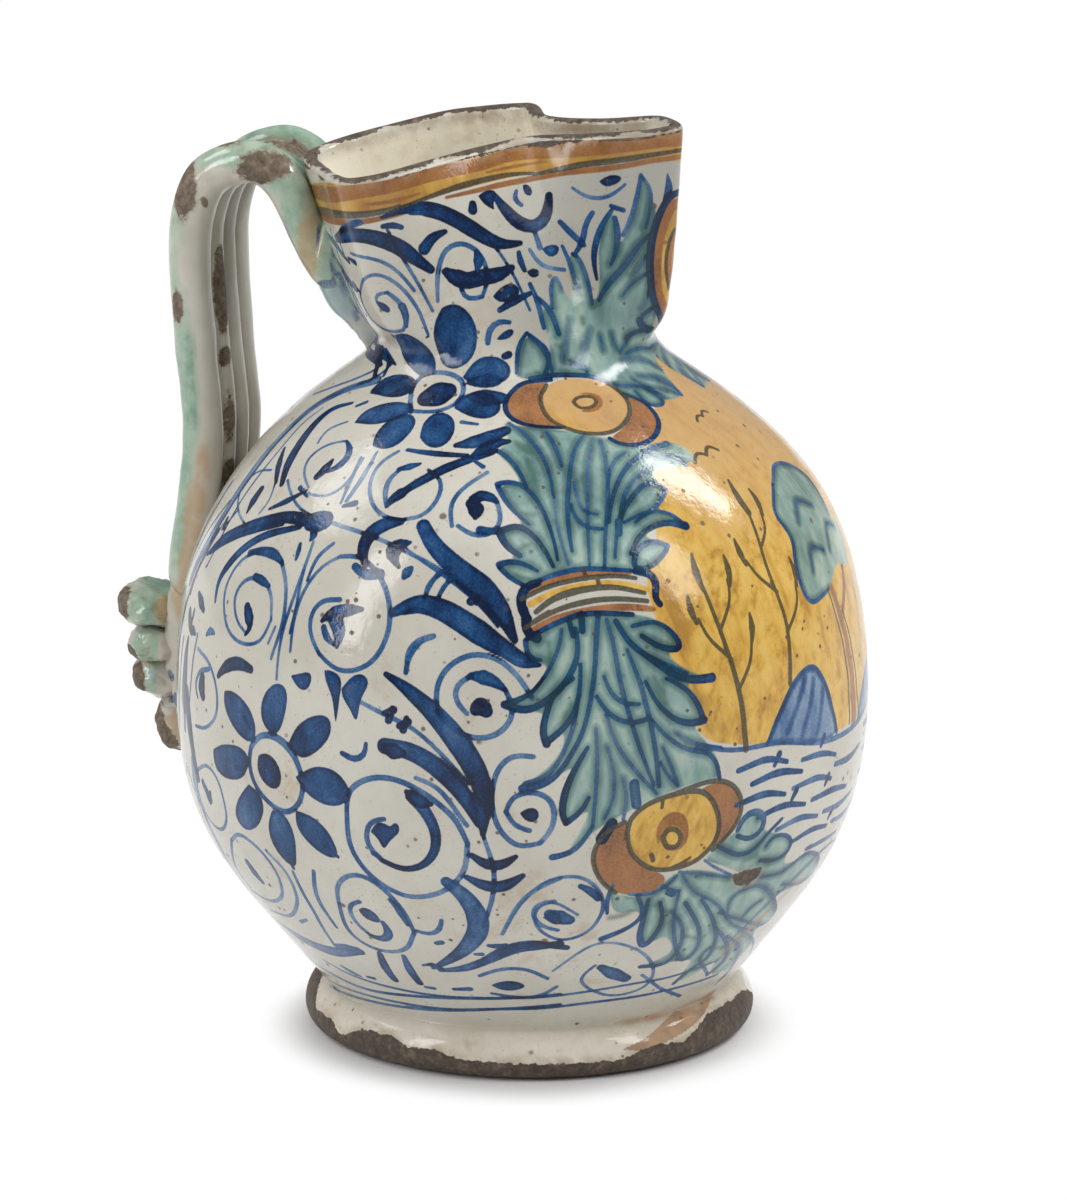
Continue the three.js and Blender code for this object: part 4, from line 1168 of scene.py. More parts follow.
# The large medallion under the spout: a plain landscape, and the small one on the spout.
SCENERY = """
F yellow - - : 8.2,228.5 -6.8,226 -17.9,216 -25.4,211 -31,204.8 -38,199.7 -38,191 -40,184.3 -43,177 -43.5,169
  -45,163 -47.5,157.5 -47.5,149.5 -46.5,142 -45.4,134 -43,125 -42,117 -39,108 -30,104 -18,101 -6,99 8,100
  20,103 32,104 40,108 43,117 44,126 46.4,134 47.5,143 48.5,150 48,158 46,164 44,170 44,178 41,185 39,192
  38.5,200 31,205 26,211 18,217 9,226
S blue .5 1.3,1.6,1.4 : -41,106.5 -34,103.5 -24,102.5 -12,98 0,97 12,99 24,102.5 34,103.5 41,107
F blue .34 - : -27,103 -24.5,110 -21,117.5 -17,121.5 -13.5,121 -10.5,114 -8.5,106 -7,99 -16,99
S blue .62 1.2,1.6,1.4 : -27,103 -24.5,110 -21,117.5 -17,121.5 -13.5,121 -10.5,114 -8.5,106 -7,99
S blue .66 1.0,1.3 : -22,105 -19,113 -17,119
S blue .6 1.0,1.3 : -18.5,102 -16,110 -14.5,118
S blue .6 1.0,1.2 : -14,101 -12.5,108 -11.8,114
F blue .3 - : 3,98 6,105 11,110 16,112 21,108.5 25,103 15,99
S blue .58 1.1,1.5,1.2 : 3,98 6,105 11,110 16,112 21,108.5 25,103
S olive - 1.9,1.7,1.4,1.1 : -31.5,103 -32.5,120 -35,138 -37,152
S olive - 1.2,.9 : -32.5,121 -29.5,129 -28.8,136
S olive - 1.2,.9 : -33.5,130 -37.5,137 -39,143
S olive - 1.1,.8 : -35,139 -32,147 -31.6,153
S olive - 1.2,2.2,.9 : -28.8,134 -28.2,138 -28.4,142
S olive - 1.2,2.2,.9 : -39.5,142 -40.4,146 -40.4,150
S olive - 1.2,2.2,.9 : -31.4,151 -30.6,155.5 -30.8,160
S olive - 1.2,2.4,.9 : -37,151 -37.8,156.5 -37.6,162
S olive - 1.6,1.4,1.2,1.0 : -21,119 -20,136 -21.5,154 -20,172
S olive - 1.2,.9 : -20,134 -16,141 -15,147
S olive - 1.2,.9 : -20.6,146 -24.5,152 -26,157
S olive - 1.0,.8 : -21,160 -17.5,165 -16.6,170
S olive - 1.2,2.2,.9 : -14.8,146 -14,150 -14.4,154.5
S olive - 1.2,2.2,.9 : -26.4,156 -27,160 -27,164
S olive - 1.2,2.2,.9 : -16.4,169 -15.4,173 -15.8,177.5
S olive - 2.2,2.4,.9 : -20,171 -20.6,176 -20,182
S orange - 4.4,3.4,2.6 : 1,99 0,120 -3,142
S orange - 2.4,1.8 : -1.2,130 5,142 8,150
S olive - 1.0,1.1,.8 : -1.4,99 -2,120 -4.6,141
S olive - 1.0,1.1,.8 : 3.8,99 2,119 0,134
F green - - : -12,140 -13.5,150 -11,160 -12.5,168 -7,176 0,181 8,178 14,170 12,160 15,152 11,143 3,146 -4,141
S blue .6 1.2,1.6,1.2 : -4,141 -12,140 -13.5,150 -11,160 -12.5,168 -7,176
S blue .6 1.2,1.5,1.2 : -7,176 0,181 8,178 14,170 12,160
S blue .5 1.0,1.4,1.0 : -8,148 -6,155 -1,152
S blue .5 1.0,1.4,1.0 : -6,163 -2,169 4,165
S blue .5 1.0,1.4,1.0 : 2,151 6,158 11,155
S olive - 1.2,1.0 : -26,190 -23.5,193.5 -21,191.5
S olive - 1.2,1.0 : -21,191.5 -18.5,195 -16,192
S olive - 1.0,.8 : -14,203 -12,205.5 -10,204
S olive - 1.0,.8 : -10,204 -8,206.5 -6,204.5
S blue .6 1.6,2.0,1.4 : -33,97 -27,98.5 -22,96
S blue .66 1.6,2.2,1.4 : -30,92 -24,93.5 -18,91.5
S blue .6 1.4,1.8,1.2 : -18,95 -12,94.5 -7,92
S blue .6 1.6,2.2,1.4 : -33,86.5 -27,88 -22,86
S blue .5 1.4,2.0,1.3 : -20,87 -13,87.5 -8,85
S blue .62 1.6,2.2,1.4 : -7,89 0,88 6,89.5
S blue .6 1.5,2.0,1.3 : -28,81 -22,82.5 -16,80.5
S blue .66 1.5,2.0,1.3 : -14,81 -7,81 0,79
S blue .5 1.4,2.0,1.3 : -23,75 -17,76.5 -11,74.5
S blue .6 1.5,2.0,1.3 : -9,75 -2,74 5,75
S blue .66 1.4,1.9,1.3 : -18,69 -12,70.5 -6,69
S blue .56 1.4,1.9,1.3 : -4,69.5 3,68.5 10,70
S blue .55 1.4,1.8,1.2 : -12,64 -5,63.5 2,63
S ink .7 1.4,2.2 : -25,96 -24,99
S ink .7 1.4,2.0 : -12.5,97 -11.5,99.5
S ink .7 1.4,2.2 : -20,83.5 -19,86
S ink .7 1.4,2.0 : -10,84 -9,86.5
S ink .7 1.4,2.0 : -6,71.5 -5,74
S blue .6 1.6,2.2,1.4 : 9,94 16,93 22,95
S blue .6 1.6,2.2,1.4 : 10,86 17,85 24,87
S blue .6 1.6,2.2,1.4 : 9,79 16,78 23,80
S blue .6 1.6,2.2,1.4 : 12,73 18,72 24,74
S blue .6 1.6,2.2,1.4 : 20,98 26,97 32,99
S blue .6 1.6,2.2,1.4 : 25,91 30,90 34,91.5
S blue .6 1.4,2.0,1.2 : 6,65 11,64 16,65.5
F wash - - : -46,-8.5 -38,-6 -30,-2 -22,1.5 -14,3 -8,1 -14,-3 -22,-6 -32,-8.5 -40,-10
S wash - 2.0,2.4,2.0 : -22,26 -16,41 -8,51 0,54 8,51 16,41 22,26
S blue .5 1.0,1.2,1.0 : -24,30 -18,45 -9,56 0,59.5 9,56 18,45 24,30
F yellow - - : 0,238.5 -6,244.5 -8.6,256 -7.4,267 -3.4,274.5 0,276 3.4,274.5 7.4,267 8.6,256 6,244.5
S orange - 3.0,3.2,3.0,3.2,3.0 : 0,240.5 -5,246 -7,256 -6,265.5 -2.6,272.5 0,273.6 2.6,272.5 6,265.5 7,256
  5,246 0,240.5
S orange - 2.0,2.2,2.0 : 0,250 -1.6,254 -1.8,258 -.8,262 0,264 .8,262 1.8,258 1.6,254 0,250
S olive - 1.0,1.2,1.0 : 0,247.5 -2.6,253 -3,258 -1.6,264 0,266.5 1.6,264 3,258 2.6,253 0,247.5
S blue .84 1.8,2.2,2.0,2.2,1.8 : 0,237.5 -6.2,244 -9.2,256 -8,267 -3.8,275.5 0,277 3.8,275.5 8,267 9.2,256
  6.2,244 0,237.5
"""

DRAWING = """
# border along the left limb
S blue .28 3.2,3.8,4.2,4.2,3.6 : -128,220.4 -137.6,214.5 -143.9,206.4 -146.5,197.6 -146.8,184.7 -146.2,169.8
  -146.5,156.5 -148.6,146.4 -150.2,137.8
S blue .62 0.9,1.2,1.1,1.3 : -131.5,219.6 -141.5,210.8 -146,200.4 -145.7,188.7 -144.8,176 -145,161.6
  -146,151.5 -147,141.3 -147.4,134.8
S blue .5 0.8,1.1,0.8 : -139.7,204.5 -141.8,196.5 -141,185.6 -141.5,173 -141.5,161.9 -141.4,153.1 -142.5,145.3
# leaf near the limb
S blue .72 1.2,2.6,3.6,3.8,2 : -128.6,210.1 -135,205.5 -135.7,198 -134.5,191.1 -132.7,184.2 -129.8,177.6
S blue .8 1.2,2.6,1.4 : -139.5,187.6 -136,182.4 -132.2,177.2
# spiral A
S blue .45 0.9,0.9,1 : -120.8,177.3 -114.4,178 -111.2,182.3 -110.2,188.2 -110.1,192.5
S blue .42 0.8,1,0.8 : -120.7,179.2 -125,183.1 -126.9,187.9 -125,192.8 -121.5,195.8 -118.5,197
S blue .62 0.9,2.2,2.6,1.4 : -118.5,197 -115.2,195 -114.5,190.8 -116.2,187.2 -118,185.9
S ink .85 2.4,3.4,1.4 : -120.2,183.3 -119,186.4 -118.8,189.5
# spiral B
S blue .42 0.8,0.9,0.8 : -133.6,161.9 -139.4,164.1 -144.5,168.1 -145.8,173 -142.8,177.7 -137.5,179.9
S blue .42 0.8,0.8 : -131.3,166.8 -130.3,171.7 -132.3,176.7
S ink .82 2.8,3.6,1.2 : -136.2,173.2 -136.3,169.3 -136,165.6
S blue .5 0.9,0.8 : -142.9,157.1 -141.5,161 -140.5,164.4
# crossing ticks
S ink .85 1,2.2,0.8 : -128.8,169.2 -124.7,173.3 -120.7,178.3
S blue .5 0.9,0.9,0.8 : -128.7,179.3 -124.5,175.4 -119.8,172.3 -115.4,171
S ink .8 1.6,0.8 : -123.3,178.4 -119.5,176.3
# long curled leaf
S blue .72 1.4,3.6,3.4,3.4,3.8,4 : -144.6,148.4 -139,156.2 -130.3,163.8 -122.2,168.7 -116.4,169.4 -112.8,170
S ink .78 1,2,2.4,1.2 : -143.4,149.1 -137,156.1 -130.3,161.7 -122.2,166.3
S ink .7 5.5,6.5,5.5 : -114.8,169.3 -112.9,169.9 -111.9,170.5
S blue .66 1.2,2.8,2.8,2.4,1.6 : -134,137.9 -134.8,145.2 -131.3,154.2 -125.8,161.5 -117.3,166.9
S ink .7 1.6,2.8,1 : -114,167.5 -112.6,165.5 -113.3,163.8
# pale stem
S blue .34 1.3,1.3,1.2,1.2,1.2,1 : -109.5,170.2 -101.8,168.7 -95.6,166.5 -89.9,163.5 -85.5,160.5 -80.4,155
S blue .5 1,1.1,1.3 : -80.4,155 -76,149 -72.7,144.2
# crescents
S blue .78 2,4.2,4.4,3.6,1.6 : -94.5,173.5 -98.4,172 -100.6,168 -100.8,163.2 -99.3,159.2
S blue .78 1,3.4,4.6,2.4,1 : -91.5,167.5 -93.6,166.5 -94.8,164.8 -94.2,162.2 -92.7,159.8
S blue .5 2.2,2.8,2.2 : -101.4,158.5 -98.7,156.2 -95.8,157.2
S blue .5 1.4,1 : -97.6,158.5 -95.7,158.2
# leaf one
S blue .74 3.8,4.8,5.6,6.4,5.2,2 : -89.7,173 -86.6,167 -81.6,160.7 -77.1,155.6 -73.7,149.2 -71.1,140.5
# leaf two
S blue .74 2.6,5.2,6,6.4,4.4,1.4 : -92,146.8 -88.3,149.8 -83.5,148.5 -78,143.5 -72.9,138.1 -67.5,133.3
S ink .8 1,2,1 : -90.4,146.6 -88.3,148.3 -86.6,148
S ink .72 1,2.6,3.4,1.2 : -75.1,139.5 -72.4,136.4 -69.6,134 -67,133.3
# stem between them
S blue .5 1.1,1.2,1.1,1 : -92.7,165.7 -86.9,161.1 -81.6,156 -77.2,150.3 -73.9,144.3
S ink .8 1.6,1.4 : -85.3,158.3 -83.7,160.7
S ink .8 1.6,1.4 : -83.1,156.9 -82,158.5
S ink .85 2.4,1.6 : -78.8,151.3 -77.7,152.7
S ink .7 1,1.2 : -78.5,153.2 -77.7,150.7
S blue .62 1.4,1.4,1.6,1.2 : -83.3,160.7 -85.6,158 -86.8,154.7 -86.9,151.5
S blue .62 1.2,1.4,1.2 : -82.1,158.4 -84.1,155.5 -84.6,151.2
# spiral C
S blue .46 1.3,1.3,1.5,1.5,1.5,1.4,1.3,1.2 : -105.2,160.7 -101.1,161.5 -96.9,158 -93.6,151 -92.6,141.5
  -94.4,133 -97.6,129 -101.3,128.3 -104.9,132
S blue .5 1.2,1.3,1.4,1.4 : -104.9,132 -107.3,137.3 -107.9,143 -106.2,147.2 -102.7,148.3
S blue .44 1,1.1,1.1,0.9 : -105.2,160.7 -108.4,156.8 -110.6,149.3 -111.2,141.2 -110.9,131
S ink .72 1.4,3.6,3.6,1.2 : -98.1,146.5 -101.1,145.6 -104.2,143.8 -105.4,141.5
S ink .74 3.2,4.4,3.4,1 : -103.9,143.5 -102.1,141.5 -101.4,138.5 -101.7,134.7
S ink .7 1.8,2.2,1 : -104.8,139.7 -104.1,137 -102.3,135.2
# spiral D
S blue .44 1,1.1,1.1,1.1,1.1,1.1,1,1 : -124.2,157.2 -129.3,152.8 -131.5,145.9 -130.8,138.7 -127.5,131.8
  -122.6,129.5 -118.1,131.8 -116.4,138.7
S blue .44 1,1.2,1.3,1.3,1.2,1,0.9 : -116.4,138.7 -118.1,146 -122.3,149.2 -126.3,147.3 -127.7,141.8
  -125.5,135.5 -121.9,132.7
S ink .8 2.6,4.2,2,1 : -123.3,140.2 -122,137.1 -121,134.6 -122.3,132.3
S ink .7 2.2,2.8,1.4 : -123.7,149.2 -121.9,149 -119.2,147.8
S blue .6 1.4,2.6,3.2,1.6 : -128.2,155.2 -124.8,156.9 -120.8,157.2 -118.1,155.5
S blue .46 1.4,1.3,1.2,1 : -118.1,155.5 -115.2,149.8 -113.6,139.5 -114.9,127.7
# thin stems
S blue .44 1,1.2,1.1,1,0.9 : -112.4,163.5 -112.2,154.3 -112.7,143.7 -113.3,133.7 -113.3,122.2
S blue .46 1.1,1.3,0.9 : -107.6,164.2 -110.1,159.5 -110.6,152
S blue .7 1.2,1.8,1 : -115.4,162 -115.1,160 -114.9,157.3
S blue .42 1,0.9 : -112.1,155 -111.4,143 -111.6,136.2
# ring and leaf E
S blue .4 1.1,1.2,1.2,1.2,1.2,1.1 : -101.3,196.8 -104.8,191.8 -104.9,184.6 -102.3,178.2 -98.4,174.6
  -94.2,174.3
S blue .42 1.2,1.2,1.3,1.2,1 : -94.2,174.3 -89.9,176.5 -87.6,182.9 -88.1,188.5 -91.8,191.5
S blue .44 1,1.6,1.6,1 : -98.2,191.3 -100.5,187.8 -100.3,182.5 -98.7,177.7
S blue .7 1.2,2.4,3,3,2.6,2.4 : -98.6,178 -96.3,182.8 -92.3,187.8 -87.6,192.6 -82.3,196.2 -77.1,199.1
S ink .8 2.4,3.6,1.6 : -98.1,180 -96.3,182.8 -94.8,184.5
S blue .6 1.4,2.4,1 : -99.1,190.7 -96.7,191.8 -94.3,193.3
# strokes near the green bunch
S blue .74 1.2,2,1.4 : -99,197.7 -90.9,197.4 -83.1,197.5
S ink .8 1.8,4.4,4.4,3.2 : -86.4,201 -82.2,202.3 -77.8,204.8 -73.7,207.3
S ink .82 1.4,4.2,3.2,1.6 : -81.6,197.7 -78.6,200.3 -75.1,203 -72.8,203.2
S ink .7 1,1.4 : -81.4,196 -78.8,193.7
# spiral F
S ink .88 3.4,4.4,1.6 : -80.4,181 -79.1,179.4 -79.4,176.6
S ink .75 1.6,3.4,2.8,1.4 : -80.6,182.7 -78.9,184 -76.4,183.5 -75.2,181.7
S blue .4 1.3,1.3,1.4,1.4,1.2 : -75.2,181.7 -74.1,176 -76,171.5 -79.6,170.9 -82.7,173.7
S blue .4 1.2,1.3,1.2 : -77.7,191.8 -82.1,187 -84.8,180.7 -83.9,173.5
# small marks
S blue .4 0.9,1,0.8 : -127.7,193.6 -128.5,198.7 -123.4,203.4
S blue .6 1.2,1.4 : -125.5,209.7 -123,212
S blue .42 0.9,1.3,0.9 : -111,192.7 -110.2,185.8 -109.9,176.8
S blue .38 0.9,1.6,1.3 : -107.2,195.5 -107.4,186.4 -108.7,177.8
S ink .7 1.2,2 : -108.9,176 -106.3,177.5
S blue .5 1.4,1 : -86.6,210 -81.9,209.5
S blue .6 1.4,3,1.6 : -91.4,157 -91.1,158.5 -90.4,159.8
S blue .62 1.4,2.6,2.8,1 : -128.8,118 -126.5,121.3 -122.9,124 -119.6,123.5
S blue .55 1.2,2.4,1.2 : -134.8,127.5 -133.6,129.7 -131.9,129.1
S blue .62 1.4,3.4,1.6 : -142.4,137.1 -139.9,135.3 -137.8,133.6
S blue .6 1.2,3,1.2 : -143,126.3 -141.1,126.1 -139.9,125.6
S blue .5 1.6,2,1.8,1.2 : -84.7,140.8 -87.1,139.5 -88.7,136.2 -88.8,130.2
S blue .4 0.9,0.9 : -116.1,131.8 -115.1,137
# flower one, lower petals and ring
F blue .74 - : -126.1,216.1 -125.4,222.4 -115.9,224.4 -108.4,223.1 -109.5,217.6 -117,215.5
F blue .76 - : -120.5,203.7 -120.8,208.9 -115,213.6 -107.8,215.3 -103.2,212.5 -107.7,208.2 -113,204.8
F blue .76 - : -109.5,197.3 -111,201.8 -109.2,208.7 -103.7,211.5 -100.4,209 -100.7,202.8 -103,197.8
  -106.5,196.2
F blue .76 - : -97.2,202.8 -98.2,209.2 -95.3,213.5 -89.7,212 -87.8,206.7 -88.7,201.3 -91.5,198.8 -94.7,199.8
F blue .76 - : -90.5,215.2 -89.6,220 -84.2,222.2 -77,220.5 -74.9,215.8 -78.2,211.7 -83.9,212
F blue .76 - : -89.5,224.1 -86.7,226.2 -80.2,226.7 -74.3,225.7 -76.3,223.7 -83.7,223.2
S blue .42 1.4,1.4,1.4,1.4,1.4,1.4,1.4 : -103.8,211.8 -108.5,218.8 -109.5,223.5 -105.2,225.8 -96.3,226.3
  -89.5,224.1 -89.3,219.3 -92.2,215 -97.7,212.7 -103.8,212.3
S ink .86 6.5,8.5,6 : -100.8,218.3 -98.2,219.7 -95.5,221.1
# flower two
F blue .72 - : -126.7,114 -124.1,115 -120.3,112.7 -117.8,107.3 -118.2,101.6 -121.3,101.7 -125,105.7 -127,110.7
F blue .74 - : -113.7,120.7 -111.8,121.8 -110.6,118.8 -111.1,112.1 -112.8,105.8 -115.3,106.7 -116.8,110.8
  -115.8,117.7
F blue .74 - : -130.8,94.5 -127.5,97.5 -122.2,99 -119.7,96.5 -121.3,90 -126.5,87.2 -130.5,88.9
F blue .7 - : -120.2,88.3 -117.4,86.5 -116.6,82.4 -119,75.7 -123.3,72.2 -125.7,75.3 -124,81.7
F blue .72 - : -114.7,82.5 -111.9,82 -110.3,75.8 -111.9,64.1 -114.3,65.4 -116.5,71.3 -116.2,77.7
F blue .72 - : -109.3,84.2 -105.4,83.1 -102.5,78.5 -101.6,71.4 -104.3,71 -107.7,74.6 -109.6,79.6
F blue .74 - : -109,94.5 -104.9,99 -100.6,98.5 -98.1,93.1 -99.1,89.3 -102.6,87.6 -106.6,90.1
F blue .78 - : -110.3,104.2 -108.5,110 -105.1,114.1 -102.1,114.6 -101.7,109.5 -104.2,103.8 -107.7,100.3
S ink .7 1,1.8,1 : -125.2,113.8 -122.2,110.8 -119.2,105.3
S ink .72 1.2,2.2,1.2 : -113.7,118.3 -114.1,112.5 -113.2,106.2
S ink .7 1.2,2.2,1.4 : -108.9,103.5 -106.3,108.3 -102.9,113
S ink .66 1.2,2,1 : -129,91.6 -124.8,92 -121.2,92.5
S ink .66 1,1.8,1.2 : -114.7,77.3 -113.6,70.9 -112.7,63.8
S ink .66 1,1.8,1.2 : -108.3,82.2 -105.1,77.8 -101.8,71.7
S ink .66 1,1.8,1.2 : -107.5,94 -103.2,91.8 -98.8,90.7
S blue .44 1.6,1.8,2.4,1.8,1.6,1.6,1.6,1.6,1.6 : -119.1,100 -116.6,104.5 -112.4,105 -109.1,101 -107.4,93.1
  -108.1,87.5 -111.3,82.7 -115.3,84.2 -118.7,89.3 -119.7,95.5 -119.1,100
F ink .88 - : -117.3,98.2 -115,100 -112.9,98 -111.8,93.2 -113.1,89.1 -115.7,89.5 -117.8,93.5
# left limb spiral
S blue .42 1.2,1.2,1.2,1 : -137.9,122.1 -132.3,119.8 -129.3,113.2 -129.3,105.7 -133.3,100 -138.1,98.5
S blue .46 1.4,1.6,1.4,1 : -132.4,118.1 -136.4,115.6 -138.1,110.4 -136.7,107.8
S ink .78 3,4.6,3 : -134.8,114.7 -135.5,111.4 -134.5,109.2
S blue .66 1.6,3.6,3.8,2.4 : -129,117.5 -126.5,121.5 -122.8,123.7 -119.7,123
F ink .8 - : -110.3,124.3 -108.2,125.3 -106.1,127.2 -105.6,123.8 -106.9,120 -109.2,121.8
F ink .76 - : -103.6,127.6 -102,128.3 -100,126.2 -100.2,123.3 -100.9,112.5 -101.7,120.3 -103.2,124.3
F ink .74 - : -100.1,123 -98.9,126.3 -96.9,129 -95.1,127 -95.3,124.2 -96.5,121.5 -97.1,113.5 -98.5,118.3
  -100.1,120.6
# stem to the right with crosses
S blue .46 1.2,1.4,1.2,1.2,1 : -96.6,120 -91.9,117 -87,113.5 -82.4,106.5 -78.3,98.7
S ink .8 1.6,2.2 : -92.3,117.5 -90.7,118.8
S ink .8 2.2,1.8 : -91.5,115.7 -90.9,119.1
S ink .8 1.8,2.2 : -89.7,114.3 -88.2,115.7
S ink .8 2.2,1.6 : -89,113.3 -88.5,116.7
# leaf three
S blue .76 1.6,4,5.4,6.4,6,4.6,1.6 : -92.3,128.8 -88.9,125.5 -84.1,119 -79.9,110.5 -76.9,101.5 -75.8,93.8
  -76.1,83.5
S blue .72 4.4,4.8,5.2,4.6,3.4 : -92.1,108 -87.6,107.1 -83,102.5 -79,95 -76.5,87.2
S ink .84 2.6,4.4,2.4 : -92.1,107.6 -90.6,106.6 -89.1,106.4
S ink .78 1,3,3.6,1.6 : -77.8,95.8 -76.5,91.5 -76.1,87.9 -76.1,84
S blue .58 1.2,1.8,1.6,1.2 : -99.5,104 -97.4,102.4 -95.4,104.6 -95.4,108
S ink .7 1.4,1 : -99.7,104.3 -98.4,103.9
# spiral H
S blue .46 1.4,1.5,1.5,1.5,1.5,1.5,1.5 : -68.2,123.8 -70.4,130 -73.9,135.1 -78,136.2 -81.7,132.7 -83.6,126.5
  -83.4,119.5
S blue .46 1.5,1.5,1.5,1.6,1.5,1.4 : -83.4,119.5 -80.4,114 -76.1,112 -72.6,115 -71.2,120.7 -72.5,126.2
S blue .62 1.4,3,4,2 : -72.5,126.2 -74,128.5 -76.1,130 -78,130
S blue .46 1.5,1.5,1.5,1.3 : -78,130 -80.3,127.3 -80.5,122.8 -78.6,119.1
S ink .86 3.2,5,3.4 : -77.2,120.3 -76.4,122 -75.5,120
F ink .86 - : -77.8,121.3 -76.9,124.1 -75.5,122 -75,119.5 -76.7,119.3
S blue .42 1.4,1.6,1.2 : -88.9,129.8 -88.6,135 -86.4,139.5
# spiral J
S blue .44 1.5,1.6,1.6,1.6,1.6,1.6,1.6,1.6,1.5 : -99,88 -98.4,93.5 -95,97.8 -90.6,98.6 -85.4,95 -80.7,88.2
  -78.6,80.5
S blue .44 1.5,1.6,1.6,1.6,1.6,1.5 : -78.6,80.5 -79.5,71 -83.7,63.5 -89.9,60.9 -95.3,65.8 -98.7,74.5
  -99.1,84.6 -99,88
S blue .62 3.6,3.4,3,2.6,2,1.8,1.6 : -87.6,94 -85.4,90 -83.7,83.2 -84.2,76.8 -86.5,72.2 -89.9,70.6 -93.3,72.8
S blue .48 1.6,1.6,1.4 : -93.3,72.8 -95.7,77.6 -95.1,84.4 -92.4,86.1
S ink .78 1.6,3.8,3.6,1.4 : -88.4,95.1 -87.3,93.7 -85.9,92 -84.4,92
F ink .8 - : -94.9,81.6 -93.9,85.5 -92.1,85 -91.1,83.1 -91,86 -89.6,85 -89.6,81.6 -91.9,80 -92.3,76.3 -93.3,77
  -93.4,79.7
S ink .7 1.6,1.4 : -94.8,74.8 -93.7,73.7
S blue .42 1.2,1.4,1.2 : -86.9,99.5 -83,96.5 -78.6,86
# spiral K
S blue .44 1.4,1.5,1.5,1.5,1.5,1.5,1.5,1.4 : -104.8,53.5 -103.7,60.6 -100.8,65.5 -97.5,66.5 -94,62.3
  -91.4,54.6 -90.8,45.9
S blue .44 1.4,1.5,1.5,1.5,1.4 : -90.8,45.9 -94.1,37.4 -99.3,34.4 -103.9,36.1 -106.2,42.5 -104.8,53.5
S blue .55 1.6,2.8,2.6,1.6 : -96.7,48.6 -96.2,43.6 -98.7,40 -101,41.5
S blue .46 1.4,1.5,1.4 : -101,41.5 -103.1,46.6 -102.7,53.6 -99.9,56.2
F ink .74 - : -100.9,52.6 -99.3,55 -97.3,52.5 -96.8,48 -99.1,47.9 -100.9,49.6
S blue .5 1.4,2.6,1.2 : -93.5,58.7 -92.3,56 -91.6,48.9
S blue .46 1.4,1.6,1.6,1.2 : -107.9,64.6 -109.4,56.8 -109.7,49.2 -109,41.9
S blue .46 1.4,1.6,1.6,1.2 : -90.1,46.8 -88,45.6 -85.4,48.2 -84.7,52.5
# dashes
S blue .78 1.6,3,3,1.4 : -78,76.8 -75.7,73.7 -73.4,73.4 -70.9,76.6
S blue .74 1.6,3.4,3.6,1.6 : -79.1,69.5 -75.9,66.5 -73,66.5 -69.8,70.3
# leaf four and the long wave
S blue .62 3.4,5,6,5.6,4.4,3,1.2 : -82.5,67.3 -80,63.3 -78.1,56.1 -78.5,48.1 -81.6,40.3 -85.3,34.5 -89.9,29.1
S blue .6 1.4,2.8,3.2,3.4,3.2,2.6 : -88.5,28.3 -82.8,30.5 -77.5,35.4 -72,41.1 -67.1,42.5 -63.5,43.4
S ink .78 2.4,1.8 : -89.7,30.5 -87.9,29.1
S blue .4 1.2,1.4,1.4,1.2 : -76,82.8 -74.5,72.5 -75,62.6 -77.3,50.3
# spiral M
S blue .44 1.4,1.5,1.5,1.5,1.5,1.5,1.4 : -68.1,106.9 -71.2,107.3 -73.7,103.2 -74.7,94.8 -73.7,85.8 -70.6,80
  -67,80.9
S blue .46 1.4,1.5,1.6,1.5,1.4,1.3 : -67,80.9 -64.9,86.1 -65.1,93.5 -68.1,96.5 -71.4,95 -72.4,90.6
S blue .46 1.4,1.4,1.4 : -72.4,90.6 -71.1,86.4 -68.7,84.8
F ink .86 - : -70.3,90.2 -69.1,92 -67.4,92 -66.9,89 -68,86.7 -69.6,88
# spiral L
S blue .42 1.2,1.5,1.4 : -74,47.8 -70.7,59.8 -67.5,65.8 -63.7,69.3
S blue .44 1.4,1.5,1.4,1.3 : -64.6,61 -67.3,60.3 -68.4,56 -66.9,51.5 -63.9,49.5
F ink .76 - : -66.6,55 -65.6,57 -63.7,56.7 -63.3,51.3 -65,52.1
# hatches above the border
S blue .62 2,3.2,2.6 : -101.4,32.6 -102.2,25.6 -101.7,20
S blue .62 1.6,3,2.4 : -95.6,33.5 -95.8,26.4 -95.1,20.4
S ink .6 1,1.4 : -110.5,17.9 -108.2,18
S ink .6 1,1.4 : -92,30 -89.9,31.1
S blue .5 1.2,1.4 : -94,18.5 -91.9,18.4
S blue .6 1.4,2 : -86.9,19.1 -83.1,19.9
S ink .7 1.4,2.2,1 : -76.8,42.5 -75.1,41.9 -73.5,43.3
S ink .7 1.2,1.6 : -79.8,38 -78.5,38.2
S ink .6 1.6,1.8 : -87,41.9 -85.9,42.5
# lens
S blue .5 1.3,1.5,1.5,1.3 : -80,27.2 -75.3,31 -70,31.2 -65.6,26.5
S blue .48 1.2,1.4,1.4,1.2 : -63.5,22.1 -67.1,17.5 -72,16.7 -78.1,18.3
F ink .74 - : -78,22.7 -75.6,25.1 -72,25.3 -69.5,22.7 -72,20.4 -76,19.9
# border lines above the foot
S blue .5 1.1,1.2,1.3,1.3,1.3,1.3,1.2 : -141.8,25 -138.3,14.7 -125.5,11.9 -113.7,10.5 -99.6,12.5 -86,14.5
  -73.8,16.2 -62.5,18.2
S blue .55 1.2,1.3,1.4,1.4,1.3,1.3 : -142.3,7.2 -141.4,0.3 -123,3 -106.7,5.1 -91.1,7.5 -75.9,10.5 -62.3,12.7
# left limb below
S blue .4 1.2,1.3,1.3,1.2,1.2,1.1 : -130,65.8 -125.7,70 -120.2,66.6 -118.1,58.9 -120.4,50.1 -127.5,44.2
  -135.7,44.4
